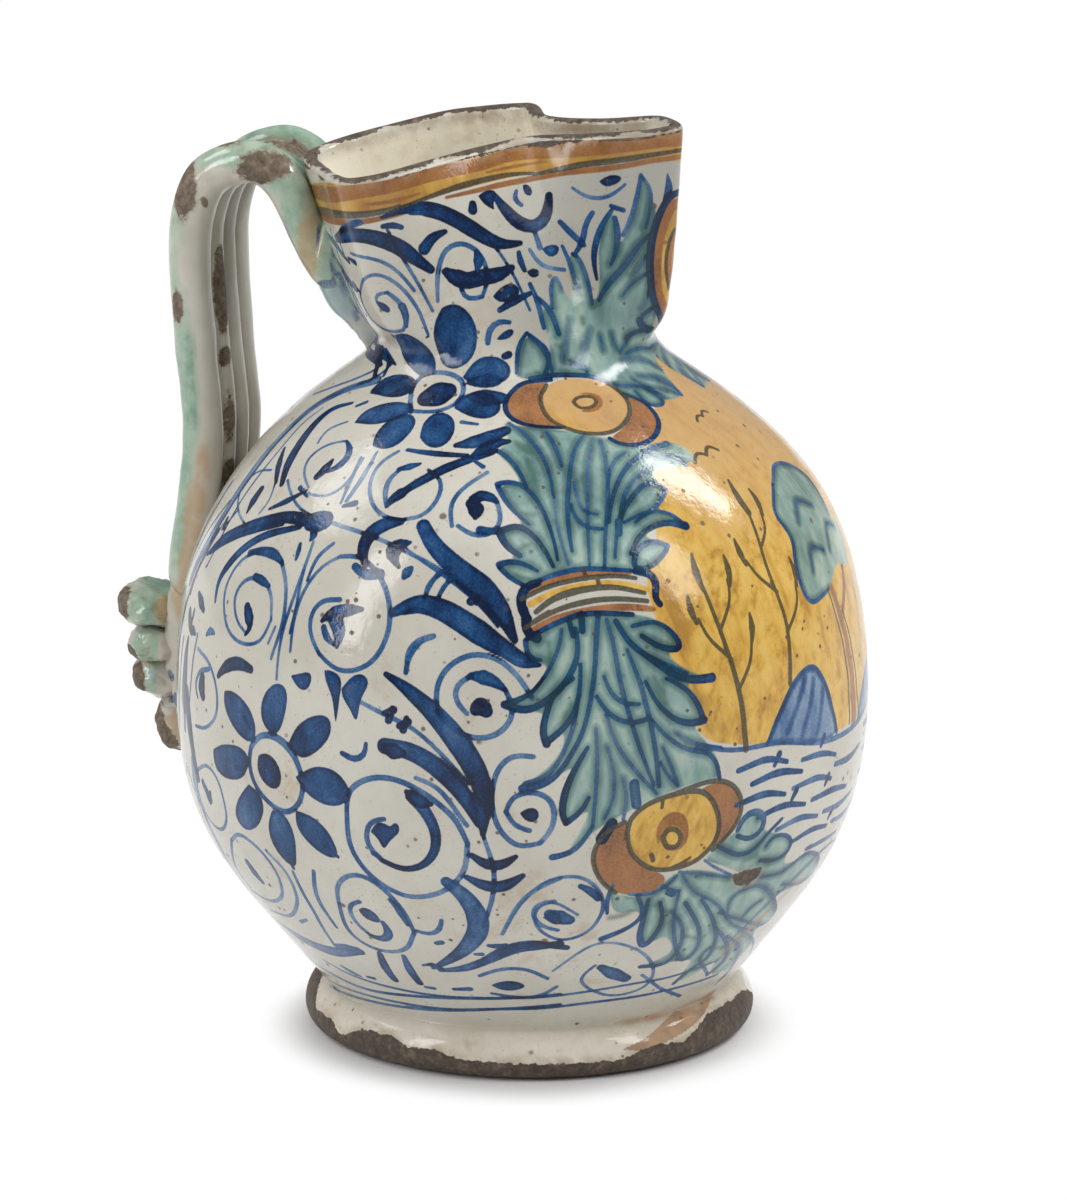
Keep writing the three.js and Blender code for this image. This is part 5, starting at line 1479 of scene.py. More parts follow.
S blue .4 1.2,1.3,1.2 : -135.7,44.4 -135.6,52.9 -130,65.8
S ink .6 2.6,3.6,2.4 : -127.2,59.4 -126.4,56 -125.3,53.4
S blue .4 1.2,1.3,1.3,1.2,1.1 : -118.7,67.5 -115.3,61.5 -115.7,51.2 -122.7,40.6 -132.7,37.8
S blue .5 1.2,1.5,1.2 : -113.3,62.3 -113,48.4 -114,31.4
S blue .42 2.6,4,4.2,2.6 : -136.2,31.8 -126.3,28.2 -116.4,27.5 -106.5,31.6
S ink .5 2,3,1.4 : -113.3,31.4 -109.8,32.3 -106.8,32.9
S blue .4 1.1,1.1,1.1,1.1,1 : -138.9,84.3 -133.5,88.3 -129.5,84.3 -128.8,74.9 -132.5,68.2 -138,68.5 -140.6,75
  -138.9,84.3
S ink .6 2.4,3,2 : -136.6,81.5 -135.5,79.3 -134.1,77.5
S blue .3 2.6,3.2,3.4,3.2,2.4 : -140.7,90.7 -141,76 -140.4,58.5 -143.2,40.4 -141.6,25.9
S blue .5 0.9,1.1,1 : -141.9,86.8 -143,71.5 -145.7,52.9
S blue .4 0.9,1,1 : -142.8,38.5 -141.8,24.5 -142.5,11
S blue .5 1.4,1 : -120.3,39.1 -117.3,41.5
S blue .5 1.2,2,1 : -117.7,20.1 -115.5,18.1 -112.9,17.1
# flower one, upper petals
F blue .76 - : -94.5,244.4 -90.5,245.9 -86.6,245.1 -84.7,243.8 -82,239.9 -83.5,234.7 -89.7,229.3 -96,227.1
  -103,229.4 -101.9,235.1 -98.4,240.9
F blue .74 - : -120.6,235.3 -113.1,236.7 -108,233.9 -104.8,229.6 -102.3,225.7 -106.5,224.4 -115.7,226.2
  -124.9,229.9
F blue .74 - : -125.5,215.3 -123.8,221.3 -115.1,224 -108.5,223.5 -107.6,219.5 -114.3,216.3
F blue .76 - : -90.9,225.6 -87.5,230 -79,231.9 -71.8,229.2 -72,225.9 -78.5,223.9 -86,223.8
F blue .76 - : -88.3,220.3 -84.5,223 -77.2,222.8 -71.3,220.7 -75.7,217.2 -83.4,217
S ink .7 1.2,2.4,1.2 : -92.9,242.9 -92.1,237.2 -97.2,229.7
S ink .66 1,2,1.2 : -118.1,234.3 -115,230.1 -104.7,226
S ink .66 1,2,1 : -86.7,226.2 -81.7,228.2 -74.2,228.2
# great arch
S blue .78 1,2.6,4.2,4.4,4.4,3.6,1.6 : -111,271.4 -101.7,273.7 -91.5,272.5 -83.2,269.3 -75.5,265 -69.2,262.2
  -62.1,262.6
S ink .7 1,1.6,2,1.2 : -100.7,272.2 -89.2,271.2 -81.2,267.2 -73.5,263.5
S blue .76 2,3.6,4,4.4,4.4,2.4 : -145.3,261 -121.9,265.6 -113.2,264.8 -106.5,262.4 -101.2,258.7 -96.1,255.6
S blue .72 3.4,2.8,1.4 : -97.2,261.7 -94,264.6 -88,266.1
S blue .45 0.9,1.1,1 : -130.1,259 -115.5,258.6 -108.7,254.7 -104.5,249.6
S blue .45 0.9,1.1,1.1,0.9 : -127.9,250.6 -118.3,254.2 -110.2,251.2 -104.5,243.9 -103.4,236.6
# spiral P
S blue .44 1,1.1,1.1,1.1,1 : -126,251.7 -134.9,245.1 -133.8,238.6 -123.3,236.1 -114.1,237.4
S blue .46 1,1.2,1.6,1.2 : -114.1,237.4 -109.8,241.2 -110.9,245.6 -115.5,248.7
S blue .46 1,1.1,1 : -115.5,248.7 -120.9,248.1 -123,245 -120,243.1
F ink .84 - : -122.6,245.7 -118.5,245.8 -115.9,244.1 -117.1,241.9 -121.4,242.5
S ink .7 2.4,2,1.2 : -111,244.7 -110.1,242.2 -112.1,238.7
# spiral Q
S blue .5 1,1.3,1.4,1.4,1.4,1.3,1.2,1.1 : -95.5,246.4 -93.5,254.4 -89,261.1 -82.3,262.7 -76.5,259.6
  -74.7,253.2 -78,247.6
S blue .5 1.3,1.3,1.2 : -78,247.6 -83.5,246.1 -86,249.4 -84.5,253.1
S blue .8 1.6,3.6,4.6,4.4,4,2 : -90.7,254.8 -86.5,251.9 -81.7,251.7 -77.7,253.3 -73,253 -66.3,255.8
S ink .84 2.4,4.4,3.6,1.6 : -89.8,254.7 -86,252.6 -81.3,252.2 -76.3,252.7
S ink .7 1.6,3,1.4 : -77.5,260 -76.8,257.8 -78.3,255.2
# thin line with small cross
S blue .5 0.9,1,0.9 : -110.2,268.8 -107.2,260.7 -102.5,252.1 -98.5,243.6
S ink .76 1.4,1.8,1.4 : -111.2,268.7 -107.7,269.3 -104.7,268.3
S blue .56 0.8,0.9,0.8 : -75.3,266.2 -69.2,259.3 -65.2,252.2 -61.7,244.3
# top strokes
S blue .78 1.6,3,3.8,3.6,3,2 : -68.5,275.6 -65.8,272.1 -61.5,267.9 -56.7,266.7 -51.5,269.6 -49.5,275.5
F ink .88 - : -74.2,275.6 -71.3,277.2 -67.7,277.3 -67.2,275.2 -70.3,273.2 -68.3,271.3 -70.2,271.8 -73,273.3
S ink .84 2,2.6 : -76.5,273.4 -76.8,271.7
F ink .86 - : -58.2,278.3 -55.8,278.7 -54.8,276.3 -56,274.9 -58.7,275.8
S blue .6 1,1.4,1.2 : -60.7,276.7 -62.2,274.3 -59.7,272.9
F ink .84 - : -74.3,247.7 -71.3,250.3 -67,252.2 -64.3,250.7 -64.5,247.8 -69,246.5 -72.8,245.7
S ink .78 1.6,2.4,1.4 : -72.5,244 -67.3,246.6 -61,248.9
F ink .86 - : -61.2,254.8 -58.5,256.4 -56,255.1 -56.6,253.6 -59.8,252.7
S ink .78 1.2,1.8,1.2 : -63,260.1 -63,257.8 -61.8,255.2
S blue .5 1,1.2,1.1 : -59,260.9 -55.2,256.4 -46.3,255.2
S blue .6 1.2,1.6 : -56.3,265.7 -55.1,261.4
F ink .82 - : -54.5,261.1 -50.8,262.7 -46.7,261.9 -48.3,259.2 -52.7,258.2
S blue .7 1.4,1.8,1.4 : -46.3,268.3 -42.2,265.3 -36.7,261.7
S blue .7 1.4,1.6,1.8,1.2 : -32.3,270.7 -36.2,266.8 -36.5,263.1 -41,259.4
S blue .6 0.8,1.1,1.1,0.8 : -39.7,277.7 -34,275.1 -25.7,275.3 -19.3,279.3
F ink .86 - : -29.2,279.8 -25.2,282.3 -19.3,281.3 -22.5,279.1 -27.3,277.7
S blue .6 1.2,1.4 : -24.8,272.8 -20,271.6
# small marks
S blue .6 1.4,1.8,1.6,1.2 : -79.5,234.8 -77.9,238.6 -73.5,241.2 -69.8,240.7
F ink .8 - : -76,235.8 -72.5,238.4 -68.6,239.6 -68.2,237.4 -72.6,235.6
S ink .8 2,2.2 : -74,231.6 -72.5,232
F ink .76 - : -106,235.3 -103.1,237.2 -102.5,235.5
# lines down the left limb
S blue .66 1.2,1.3,1.4,1.4 : -168.7,262.5 -164.3,250 -157.7,239.5 -166.3,226.5 -133,224.8
S blue .6 1,1.3,1.2 : -151.2,262.8 -148,249.1 -139.4,240.4 -147.2,229 -126.9,226
S blue .6 1,1.2 : -162.8,247 -155.4,238.1 -148.8,232.7
S blue .5 0.9,1 : -145.6,244.5 -149.9,232.4 -139.3,225.5
F ink .7 - : -138.8,249.6 -134.3,249 -135.2,246 -141.8,245.9
S ink .7 1,2.4,1.2 : -166.9,259.5 -147.8,258.5 -136.2,256
S ink .7 1,1.8 : -133.8,257 -128.2,256.4
S blue .5 1,1.3,1.2 : -133,224.8 -137.1,221 -146.1,213.5 -156.7,205
S blue .5 1,1.3,1.2 : -126.9,226 -129.1,222.6 -136.5,215.2 -143.7,207.5
S blue .62 1.4,1.4,1.4 : -118.5,269.7 -124.1,267.9 -137.6,263.5
S blue .46 1,1 : -141.3,229 -125.5,226.2
# waves and spirals low on the body
S blue .56 2.4,3.4,3.2,2 : -79.4,33.6 -72.7,41.8 -67.6,43.5 -62.1,41.5
S blue .46 0.9,1.1,1.1,0.9 : -74,47.8 -70,61.1 -65.5,68.6 -60.4,69.5 -57,64.4 -56,57.1 -58.4,48 -63.4,45
  -67.5,50.4 -67.8,58.2 -64.9,61 -60.4,55.5
S blue .7 1.6,2.4,2 : -60.2,66.2 -58.4,64.5 -57,61.3
S ink .6 3,5,3.4 : -65.4,56.4 -63.8,54.7 -62,53.6
S blue .44 0.9,1.1,1 : -64.5,30.2 -56.6,42.5 -48.5,38.9 -42.1,27.6 -41.7,17.9 -49.1,15 -55.3,19.1 -58.5,25.6
  -55.8,32
S ink .6 2.4,4.6,3 : -54.5,30.9 -51.5,27.2 -47.8,23.5
S blue .5 1,1.2 : -44.2,24.5 -36.7,15 -27.8,8
# double border round the foot
S blue .56 1,1.2,1 : -124.8,19.5 -115.7,16.1 -101.3,14.9 -89,14.7 -77.2,16 -67.1,16.7 -56,18.7 -44.7,20.4
  -36.7,20.5 -22.6,23
S blue .56 1.1,1.3,1.1 : -142.6,4 -122,6.5 -104.2,7.5 -90.4,8.1 -77.7,10.2 -67.1,11 -55.4,12.6 -43.1,13.1
  -34.2,13.4 -17.1,13.8
# lines that run down the neck beside the handle
S blue .62 1,1.6,2,2,1.6 : -168.3,261.7 -166.8,258 -165.8,253 -156.9,250.9 -152,248.7 -149.7,246
S blue .74 1.6,3.2,3.6,2.6,1.2 : -165.1,252.7 -154.1,251 -147.6,249 -141,247.7 -134.3,247.1
S blue .6 1,2,2.4,1.4 : -162.7,260 -151.4,259.5 -143.2,257.6 -134.3,255.8
S blue .46 1.4,1.7,1.5,1.2 : -119.3,270 -125.5,268.4 -133.1,265.5 -138.2,262.9 -140.2,260 -138.1,258
S blue .66 1.6,2.6,2.6,2.2,2,1.6 : -161.8,245 -160.7,243 -158.7,240.5 -155.8,238.4 -151.8,236 -147.8,234
  -161.6,226 -143.8,226 -136.6,225 -133.4,223.5 -131.5,221.8
S blue .62 1.2,1.8,2.6,2.6,1.6 : -148.2,245.1 -145.9,243 -146.8,240.8 -143.8,238.6 -144.3,235.4 -152.5,231.4
  -149.3,228.5 -138.8,227 -134.6,225
S blue .6 1,1.6,1.4,1.2 : -147.2,234.5 -161,229.2 -146.7,228.5 -134.7,227.8 -129.2,226 -127.3,224 -126.5,222.7
S blue .5 0.8,1,0.8 : -136.8,229 -130.8,227.5 -124.3,226
F blue .7 - : -162.8,247 -160.8,245 -161.1,244.6 -161.8,245.5
# edge lines of the bare strip under the handle
S blue 0.74 1.1,1.3,1.1 : -147.9,164.8 -149.9,158.5 -151.5,152.8 -153.1,145.7 -154.4,139.2 -155.5,132.3
  -156.4,124.5 -156.8,119.5 -157.1,113.1 -157.1,107.4
S blue 0.86 2.1,2.2,2.2,1.8 : -144.3,156.2 -145.7,149.1 -147,142.2 -147.9,136.9 -148.9,130.7 -150,123.5
  -151,117.1 -151.8,110.8 -153,100.3
F blue .55 - : -143,145.8 -142.1,146.1 -142.3,144.4 -143.2,144.6
S blue 0.92 2.8,3.6,3 : -145,130.3 -144,127.1 -142.3,125.7
S blue 0.82 1.6,4.1,5.5,5.8 : -143.7,122.7 -144,117.6 -144.4,111.9 -144.9,103.2
S blue 0.72 0.9,1.1,0.9 : -138.8,126.2 -139.4,120.9 -140,114.6 -141,104.8
S blue 0.92 1.3,1.6,1.3 : -142.4,131.9 -142.6,129.6 -142.7,127.7
S blue 0.76 5.3,5.5,4.7,4.1,3.6,3 : -143.1,106.3 -142.3,101.3 -141.4,96.3 -140.5,91.1 -139.7,85.7 -139,82
S blue 0.94 2,2.8,1.6 : -150.9,103.3 -150.7,98.3 -150.5,92.3
S blue 0.82 1.3,1.6,1.1 : -153.8,89.8 -154.2,86.7 -154.1,83.4
S blue 0.77 1.6,2.2,1.4 : -135.8,80 -135.2,76.5 -134.7,75.7 -133.8,79.8
S blue 0.68 1.1,1.4,1.6,1.4 : -146.5,82.6 -144.2,78.2 -141.7,72.2 -140,66.3 -139,59.7 -139.2,52.1 -141.3,42.2
  -143.2,37.2
S blue .26 2.4,3.6,3.8,3,1.6 : -155.8,168 -156,159.1 -156.2,151.3 -156.3,143.7 -156.5,135.7
S blue .9 1.6,2.4,1.2 : -143.3,160.6 -143,158.8 -142.1,157.7
S blue .92 1.6,1.6,1.8,1.6 : -147,121.4 -147.9,113.4 -148.9,105 -149.7,98.1 -150.5,91.6
S blue .5 2,3,3,2.2 : -144.9,115.2 -144.8,108.2 -144.8,100.5 -144.7,94.5
S blue .8 1,1.6,1.6,1.2 : -152,91.2 -153.7,86.2 -153.3,83.5
# neck bunch
F green - - : -64.5,226.9 -63.5,234.4 -58.8,232.7 -56.3,230.3 -55,236 -57.5,241.6 -57.8,244.8 -54.5,244.9
  -52.6,247.1 -52.4,252.6 -50.1,253.6 -47.7,250.2 -45.8,246.8 -43.5,246.6 -43.3,252.2 -45.3,257.8 -41.8,259.7
  -38.8,258.7 -35.7,253.5 -34.5,246 -31.6,246.4 -30.2,253.8 -30.2,261.8 -25.2,271.1 -23.3,269.3 -21.3,261.7
  -19.6,263.4 -14.7,274.8 -13.3,282.2 -10,278.4 -9.3,273.1 -7.3,271.3 -8,267.1 -9,259.9 -8.7,250.8 -4.1,242.1
  -4.4,236.4 3.1,230.6 -3.6,223 -8.9,213.5 -16,212.7 -32.1,216.9 -33.9,223.4 -41.1,225.2 -53,226.3
S blue .6 1.2,1.5,1.4,1.2 : -20,264.4 -18,267.1 -16.3,270.8 -15,275.4 -14,280.1 -13.7,282.2
S blue .52 1,1.2,1,0.9 : -13.5,281.9 -11.2,279.7 -9.8,276.7 -9.8,273.1 -10.7,268.8 -11.4,266.5
F blue .6 - : -4.8,283.2 -2.7,280.1 -2,276.9 -3.2,275.3 -6,272.4 -6.7,271.8 -5.5,275.4 -5.2,279.6
S blue .76 1.2,1.9,1.7,1 : -24.8,271.3 -27.8,268.2 -30.5,264.1 -32.5,260.1 -33,256.1 -31.7,251.8
S blue .64 1.4,1.9,1.5,0.9 : -23.3,269.3 -22.2,265.8 -22.2,261.7 -23.3,258.2 -25.2,255.8
S blue .7 1.1,1.2,0.9 : -24.8,272.8 -23,271.9 -19.8,271.7
S blue .62 1,1.7,1.9,1.2 : -9.7,264.7 -14,261.1 -18,256.4 -22,252.9 -26.7,250.2 -31.2,245.8
S blue .4 0.9,0.9,0.7 : -10.8,258.2 -13.3,255.2 -15.3,252.8
S blue .6 1.2,0.9,0.7 : -8.8,253.3 -13.5,251.5 -17.7,248.7 -20.3,246.3
S blue .42 0.9,0.9,0.8 : -8.7,250.8 -8.5,248.4 -9.3,245.4 -11,242.4
S blue .7 1.4,1.2 : -5.2,242.8 -9.2,241.2 -12,239.5 -9.5,236.2
S ink .7 1.8,2.4 : -11.8,238.8 -9.5,236.2 -4.1,235
S blue .62 1,1.4,1 : -46.3,261.7 -44.6,258.9 -42.5,254.4 -42,252.1 -41.4,249.9
S blue .6 1.2,1.5,1.5,1 : -42,259.4 -39.7,258.8 -37.8,255.3 -35.8,251.2 -34.6,244.9
S blue .54 0.9,1.2,0.9 : -48.2,250.2 -49.5,252.5 -50.5,253.6 -52.5,252 -53,248.1 -52.5,244.9
S blue .64 1.2,1.5,1.2 : -60.5,251.5 -58.8,247.7 -57.8,244.3 -57.5,241.6 -57,239.4
S blue .7 1.2,1.7,1.4 : -58.2,247.7 -55.4,245.9 -53.2,243.2 -51.7,239.8 -51,237.5
S blue .4 0.8,0.9,0.8 : -45.7,241.2 -47,238.4 -48.7,234.6 -50,230.1
S blue .64 1.1,1.5,1.2 : -63,236.9 -59.4,234.9 -56.5,231.5 -55.7,227.7
S blue .74 1.5,1.7 : -17.5,233.8 -13.2,235.2 -9,235.5 -3.2,235.3
S blue .55 1,1.3,0.9 : -19,229.4 -9.7,230 0.2,228.5
S blue .42 0.9,1.1,0.9 : -22.7,228 -15.1,227.9 -6.8,225.5 -3.6,223
S blue .46 0.9,1.2,1.1 : -19.6,223.5 -14.1,222.4 -7.5,219.6 -8.5,213.4
S blue .5 0.9,1.2,1 : -23,222.7 -21.6,220.2 -18.1,217.7 -17.6,214
S blue .5 0.9,1,0.9 : -25.5,235.6 -24.5,232.6 -22.2,230
S blue .5 0.8,0.9,0.8 : -22,230.1 -16.1,233 -13.2,235.2
S blue .5 0.9,1.1,0.9 : -31.7,235.6 -31,231.6
S blue .36 1.2,1.4,1 : -36.5,237.6 -40,233.5 -43,229.8
S blue .5 1.1,1.4,1.1 : -46.8,229.2 -42.9,228.1 -41.1,226.5
# dark green touches
S deep - 2,2.4 : -11.8,263.7 -10.8,262.8
S deep - 2.2,2.5 : -39.8,241.3 -39.5,239.9
S deep - 1.8,2.1 : -52.2,234.4 -50.7,233.8
S deep - 1.4,1.5 : -17.8,252.8 -16.5,251.6
F green - - : -69.7,226.3 -69.5,230.6 -68.3,233.8 -64,237.6 -59.4,234.9 -55.2,231.4 -56.3,226.7 -61.2,225.3
  -65.5,225.4
S blue .6 1,1.4,1.1 : -69.8,227.2 -69.4,230.6 -68.2,234.2 -64,238
S blue .6 1,1.5,1.2 : -64,238 -59.3,235.2 -55.5,232.4 -56.7,228.8 -58.8,226.8
S deep - 1.5,2.2,1.5 : -62.5,227.4 -58.8,226.3 -54.7,225.8
# upper bunch
F green - - : -74,210 -69.6,209.2 -62.1,208.1 -51.8,205.5 -46.8,203.2 -39.4,199.2 -35.5,198.8 -30.4,199.2
  -25.7,195.8 -24.9,191.5 -30.8,189.7 -37,190.2 -40.2,188.3 -37.3,184.7 -38.2,181 -42,177.3 -39.4,175.4
  -36.9,171.2 -40.3,172 -46.1,170 -45.5,168 -42.1,166 -43.9,161.5 -46.9,158.5 -51.1,160 -59.7,160.8
  -64.5,159.7 -69.6,156 -73.6,160.5 -74.3,162.3 -71.3,163.8 -72.6,167.9 -74.4,172 -71.4,174.5 -69.7,174.7
  -73.2,181.2 -75.1,187 -72.7,188.2 -69.8,187.8 -73.3,196.3 -76.1,198.7 -72.7,203.7
S blue .58 1,1.3,1.1,0.9 : -72.7,210.2 -69,207 -66.1,202 -64.3,197.2 -63.3,190.8 -63.2,184
S blue .56 1.1,1.4,0.9 : -62.3,206.5 -61.1,202.6 -60.3,197.7 -60.2,193.8
S blue .66 1.5,1.4,1 : -76.7,200.3 -73.4,198 -70.7,193.3 -68.8,187.2
S blue .6 1,1.3,1.4,1 : -51.8,205.4 -55.5,200.7 -57.9,194.5 -59.4,187.5 -60.5,181 -61,172.5 -60.8,166.2
S blue .45 0.9,1.1,1,0.8 : -50.1,203 -53.1,196.5 -54.9,188.7 -56.7,177.7 -57.6,167.4 -57.8,161.8
S blue .56 1.2,1.3,1 : -48.3,202.5 -48.7,197.5 -49.8,190.5 -52.1,180.1 -54,170.5 -55.1,161
S blue .52 0.9,1.1,0.9 : -43,197.2 -46.3,195.7 -49.1,191.2 -50.9,186
S blue .66 1.9,1.5,1.3,1.1 : -30.2,198.2 -37.3,196.7 -43.8,192.8 -48.2,187.2 -51.3,180.2 -52.7,174.5
S blue .62 1,1.4,1.1 : -37,195.8 -33.5,193.8 -29.3,192.5 -28.9,189.6
S blue .54 1,1.3,1.1,0.9 : -39.3,190.5 -43.7,188 -47.8,182.7 -50.2,175.7 -51.8,170.2 -52.9,163.5
S blue .7 1.4,1.5,1.3 : -37.7,183.2 -38.8,185.7 -42.1,186 -45.8,182.3 -49.3,177.7 -50.4,174.2
S blue .58 1.5,1.2,0.9 : -37.7,183.2 -39.7,179.8 -43.2,176.8 -46.8,175.8 -49.6,174
S blue .62 1.4,1.1,0.9 : -36.8,170.8 -38.8,175.2 -41.6,176.8 -44.3,176.2 -47.2,173.8
S blue .78 2.6,1.7,1.5,1.2 : -36.8,170.8 -40.2,172.7 -44.3,171.8 -47.6,169 -49.7,164.3
S blue .72 1.5,1.7,1.4,1.4 : -42,165.5 -43.8,167.3 -47.2,166.8 -49.3,163.7 -49.8,159.7 -47.7,159.3 -44.9,161
  -42.4,164.5
S blue .72 1.7,1.4,1.1,0.9 : -75.2,187.8 -73.1,189 -69.8,187.8 -67.1,183.5 -65.2,176.8 -64,169 -63.6,163.6
S blue .62 1.5,1.4,0.9 : -75.1,187 -73.7,182.7 -71.3,178.3 -68.7,174.7
S blue .76 2.2,1.9,1.4,1.1 : -78.3,172.8 -74.3,172.2 -71.4,174.5 -68.4,172 -66,167 -64.4,161.6
S blue .7 2.2,1.5 : -74.4,172 -73.1,167.9 -70.5,165
S blue .72 1.7,1.5,1 : -74.3,162.3 -72.5,163.5 -69.7,162.8 -67.4,160.5
S blue .7 1.5,1.3 : -74.2,161.7 -72.5,158.5 -70,156.5
S blue .5 0.9,1.1,0.9 : -58.1,188.2 -58.2,182.2 -57.3,177.8 -54.7,177.2
S blue .6 1,1.3,1.1 : -59.8,180.8 -59.3,175.8 -57.4,172.9 -54.4,172.5
S blue .44 0.9,0.9,0.8 : -63.1,183.2 -63.2,175.3 -62.6,168.4 -61.7,162.2
S deep - 1.5,3.8,2.4 : -71,203 -67.7,199.7 -66.8,198.8
S deep - 2.2,3.4,1.5 : -68.1,196.5 -67.2,189.3 -66.4,185.5
S deep - 1.5,2.5,1.1 : -70,178.3 -67.8,177.3 -66.8,178.3
S deep - 1.5,2.5,1.1 : -71,166.5 -69.7,167.8 -68.2,168.8
S deep - 1.8,2.2,0.9 : -71.3,159.2 -70.1,158.5 -67.6,157.5
S ink .5 2.2,2 : -50.7,174.3 -51.2,170.8
# leaf right of the upper roundel
F green - - : -32,221.6 -22.9,220.1 -18.5,215.8 -17.9,212.1 -23.5,211.3 -27.5,213.2 -28,218.2
S blue .6 1,1.5,1 : -35.8,224 -30.2,221.3 -22.6,220.2 -18.4,216.1
S blue .6 1.1,1.3,1 : -26.5,218.7 -26,212.8 -23.3,211.5 -19,211.9 -19.1,215.4 -21.9,218.9
S blue .5 1,1.2,1 : -11.8,220.6 -8.6,218 -9.1,212.7
S blue .45 0.9,1 : -21,219.7 -16,217.7 -11.5,215.4 -9.7,213
# lower bunch
F green - - : -69.3,139.7 -65.8,143.7 -62.2,146.3 -57.2,147.7 -52.6,147 -46.9,144.5 -42.9,136.4 -45.6,135
  -43.3,130.2 -39.1,126.1 -42.7,125.2 -40.3,119.8 -39.6,114 -41.8,112.8 -38.4,105.5 -36.7,99.3 -36.9,95.9
  -42.7,95.2 -48.1,92.6 -52,89.8 -54.4,88 -57.1,85.5 -58.6,83.4 -60.1,81.2 -62.4,77.6 -59.8,87.2 -59.1,90.7
  -62.9,87.5 -63.6,91 -63,98.2 -61.8,103.8 -64.5,101 -69.6,98 -65.6,104 -63,110.8 -63.6,115 -66,110.5
  -66.8,113.7 -65.9,119.1 -69.3,120.3 -72.6,122 -67.3,126.8 -65.4,132.9 -68.2,134.3 -69.4,137
S blue .62 1.5,1.3,1.1 : -69.3,140.3 -69.2,137.7 -68.5,135.2 -66.8,134.7
S blue .6 1,1.2,1 : -63.3,143.3 -63.6,139.5 -64.8,134.2 -66.6,128.9 -68.7,124.8
S blue .7 1.2,1.7,1.9,2.2 : -61,143.5 -60.6,138 -61.5,132 -63.6,126.6 -66.2,122.7 -69.3,120.3 -72.6,122
S blue .76 1.9,1.4,1 : -72.6,122 -70.8,123.2 -68.5,124.8 -66.6,128.9
S blue .75 1.1,1.5,1.9 : -60.3,133.2 -60.4,129.1 -60.7,124.3 -61.6,119 -63.7,114.3 -66,111
S blue .8 1.2,1.7,2.1 : -61.6,129.2 -64.7,125.3 -66,119.2 -66.7,113.7 -66,110.5
S blue .62 1.5,1.4,1.3,1.4,2.1 : -57,147.3 -57.6,139 -58,131 -59,121.5 -60.3,113.3 -61.9,108 -64.1,101.9
  -66.7,98.3 -69.9,97.6
S blue .5 1,1.3,1.2,1.9 : -60.7,124.3 -61.8,114.8 -63.7,106.7 -66,101.2 -69.3,98.8
S blue .5 0.9,1.2,1.2,1 : -58.1,114.5 -58,103.5 -58.3,92.8 -58.6,85.5
S blue .8 1.1,1.7,2.1,1.7 : -59.5,109.2 -62.1,101 -63.3,94.7 -63.6,89.5 -62.9,87
S blue .74 1.9,1.5,1.2 : -62.9,87 -60.6,90 -59.3,94.3
S blue .44 0.9,1.1,0.9 : -56.3,108.8 -55.3,101.7 -55.3,93.8 -56.7,87.7
S blue .46 0.9,1.2,1 : -56.4,118.5 -54.9,110 -52.6,103.5 -50.6,98.9 -48.1,94
S blue .6 1,1.4,1 : -56.5,129.5 -55.5,124.5 -53.5,121.3 -50.8,120.7
S blue .64 1.1,1.4,1.4 : -57.8,123.8 -56.3,119.2 -53.7,115.8 -51.3,115.3 -49.4,116.4
S blue .56 1.1,1.4,1.3,1 : -55.6,145.5 -54.6,137.5 -53.8,127.2 -52.4,116.6 -50.6,106 -48.6,96.5
S blue .6 1,1.5,1.4,1.4 : -52.4,136.5 -50.9,128.9 -49.6,119.6 -48.5,109 -47.7,96.2
S blue .72 1.5,1.7,1.7,2.1,2.6 : -54,145 -51.9,138.5 -48.3,133.2 -45.1,128.5 -41.4,126 -37.7,125.8
S blue .5 1,1.2,1 : -49.9,135.5 -46.7,132.2 -42.2,128.2
S blue .7 1.1,1.5,2.2 : -49.6,127 -47.9,120.8 -45.1,115.5 -41.8,113.3 -39.6,113.9
S blue .7 1.1,1.5,1.9 : -46,127.3 -42.7,123.8 -40.7,119.3 -39.8,114.2
S blue .6 1,1.4,1.4 : -48.9,116 -46.5,110.8 -42.7,105.8 -38.8,104.2 -37,99.4 -36.7,95.7
S blue .5 0.9,1.2,0.9 : -44.8,111.2 -41.4,107.5 -36.5,105
S blue .5 0.9,1.2,0.9 : -47.1,107.5 -45.6,101.5 -44.4,96
S blue .5 0.9,1 : -47.5,103.3 -46.5,99.5 -44.4,95.5
S blue .72 1.2,1.3,1.9,1.4 : -51.2,143.2 -46.8,143.8 -43.7,139.2 -42.8,135.2 -46.5,136.3 -49.7,140.2
S ink .5 2.8,2.8 : -51.9,97.5 -51.5,91.3
S blue .76 1.9,1.7 : -59.9,147.5 -59.8,142.7
S blue .76 1.4,1.5 : -62,145.5 -61.4,141.5
S deep - 1.5,1.5 : -61,143.5 -61.2,139.8
S blue .6 1.2,1.5,1.9 : -58.6,85.5 -59.7,82 -62,77.6 -65,76.3
S blue .4 1,1.2,1 : -53.8,99.3 -53.1,93.5 -53.6,87
S deep - 1.7,2 : -65.4,139.5 -65.4,134.5
S deep - 2.2,3.8,2.2 : -62,121.8 -61.7,120.3 -63.6,116.5
S deep - 2.2,3.8,2.2 : -48.1,127.6 -47,124 -46.3,120.3
S deep - 1.5,3,2.2 : -44.4,111 -42.7,107.8 -41.4,107
# leaves under the lower roundel
F green - - : -55.5,63.8 -53.6,55 -50.6,55.6 -48.4,53.9 -47.6,40.5 -44.4,40.9 -42.4,42.9 -39.3,34 -44.7,28.9
  -37.3,29.1 -34.7,27.4 -32.2,28.4 -32.7,17 -26.8,19.4 -23.8,24.6 -21,15.4 -13.5,14.5 -12.6,7.1 -11.8,18.8
  -10,23 -15.1,33.1 -11.3,37.3 -15.7,47.9 -23.2,55.9 -29.2,60.5 -35.4,65.6 -42.9,68 -49,60.5
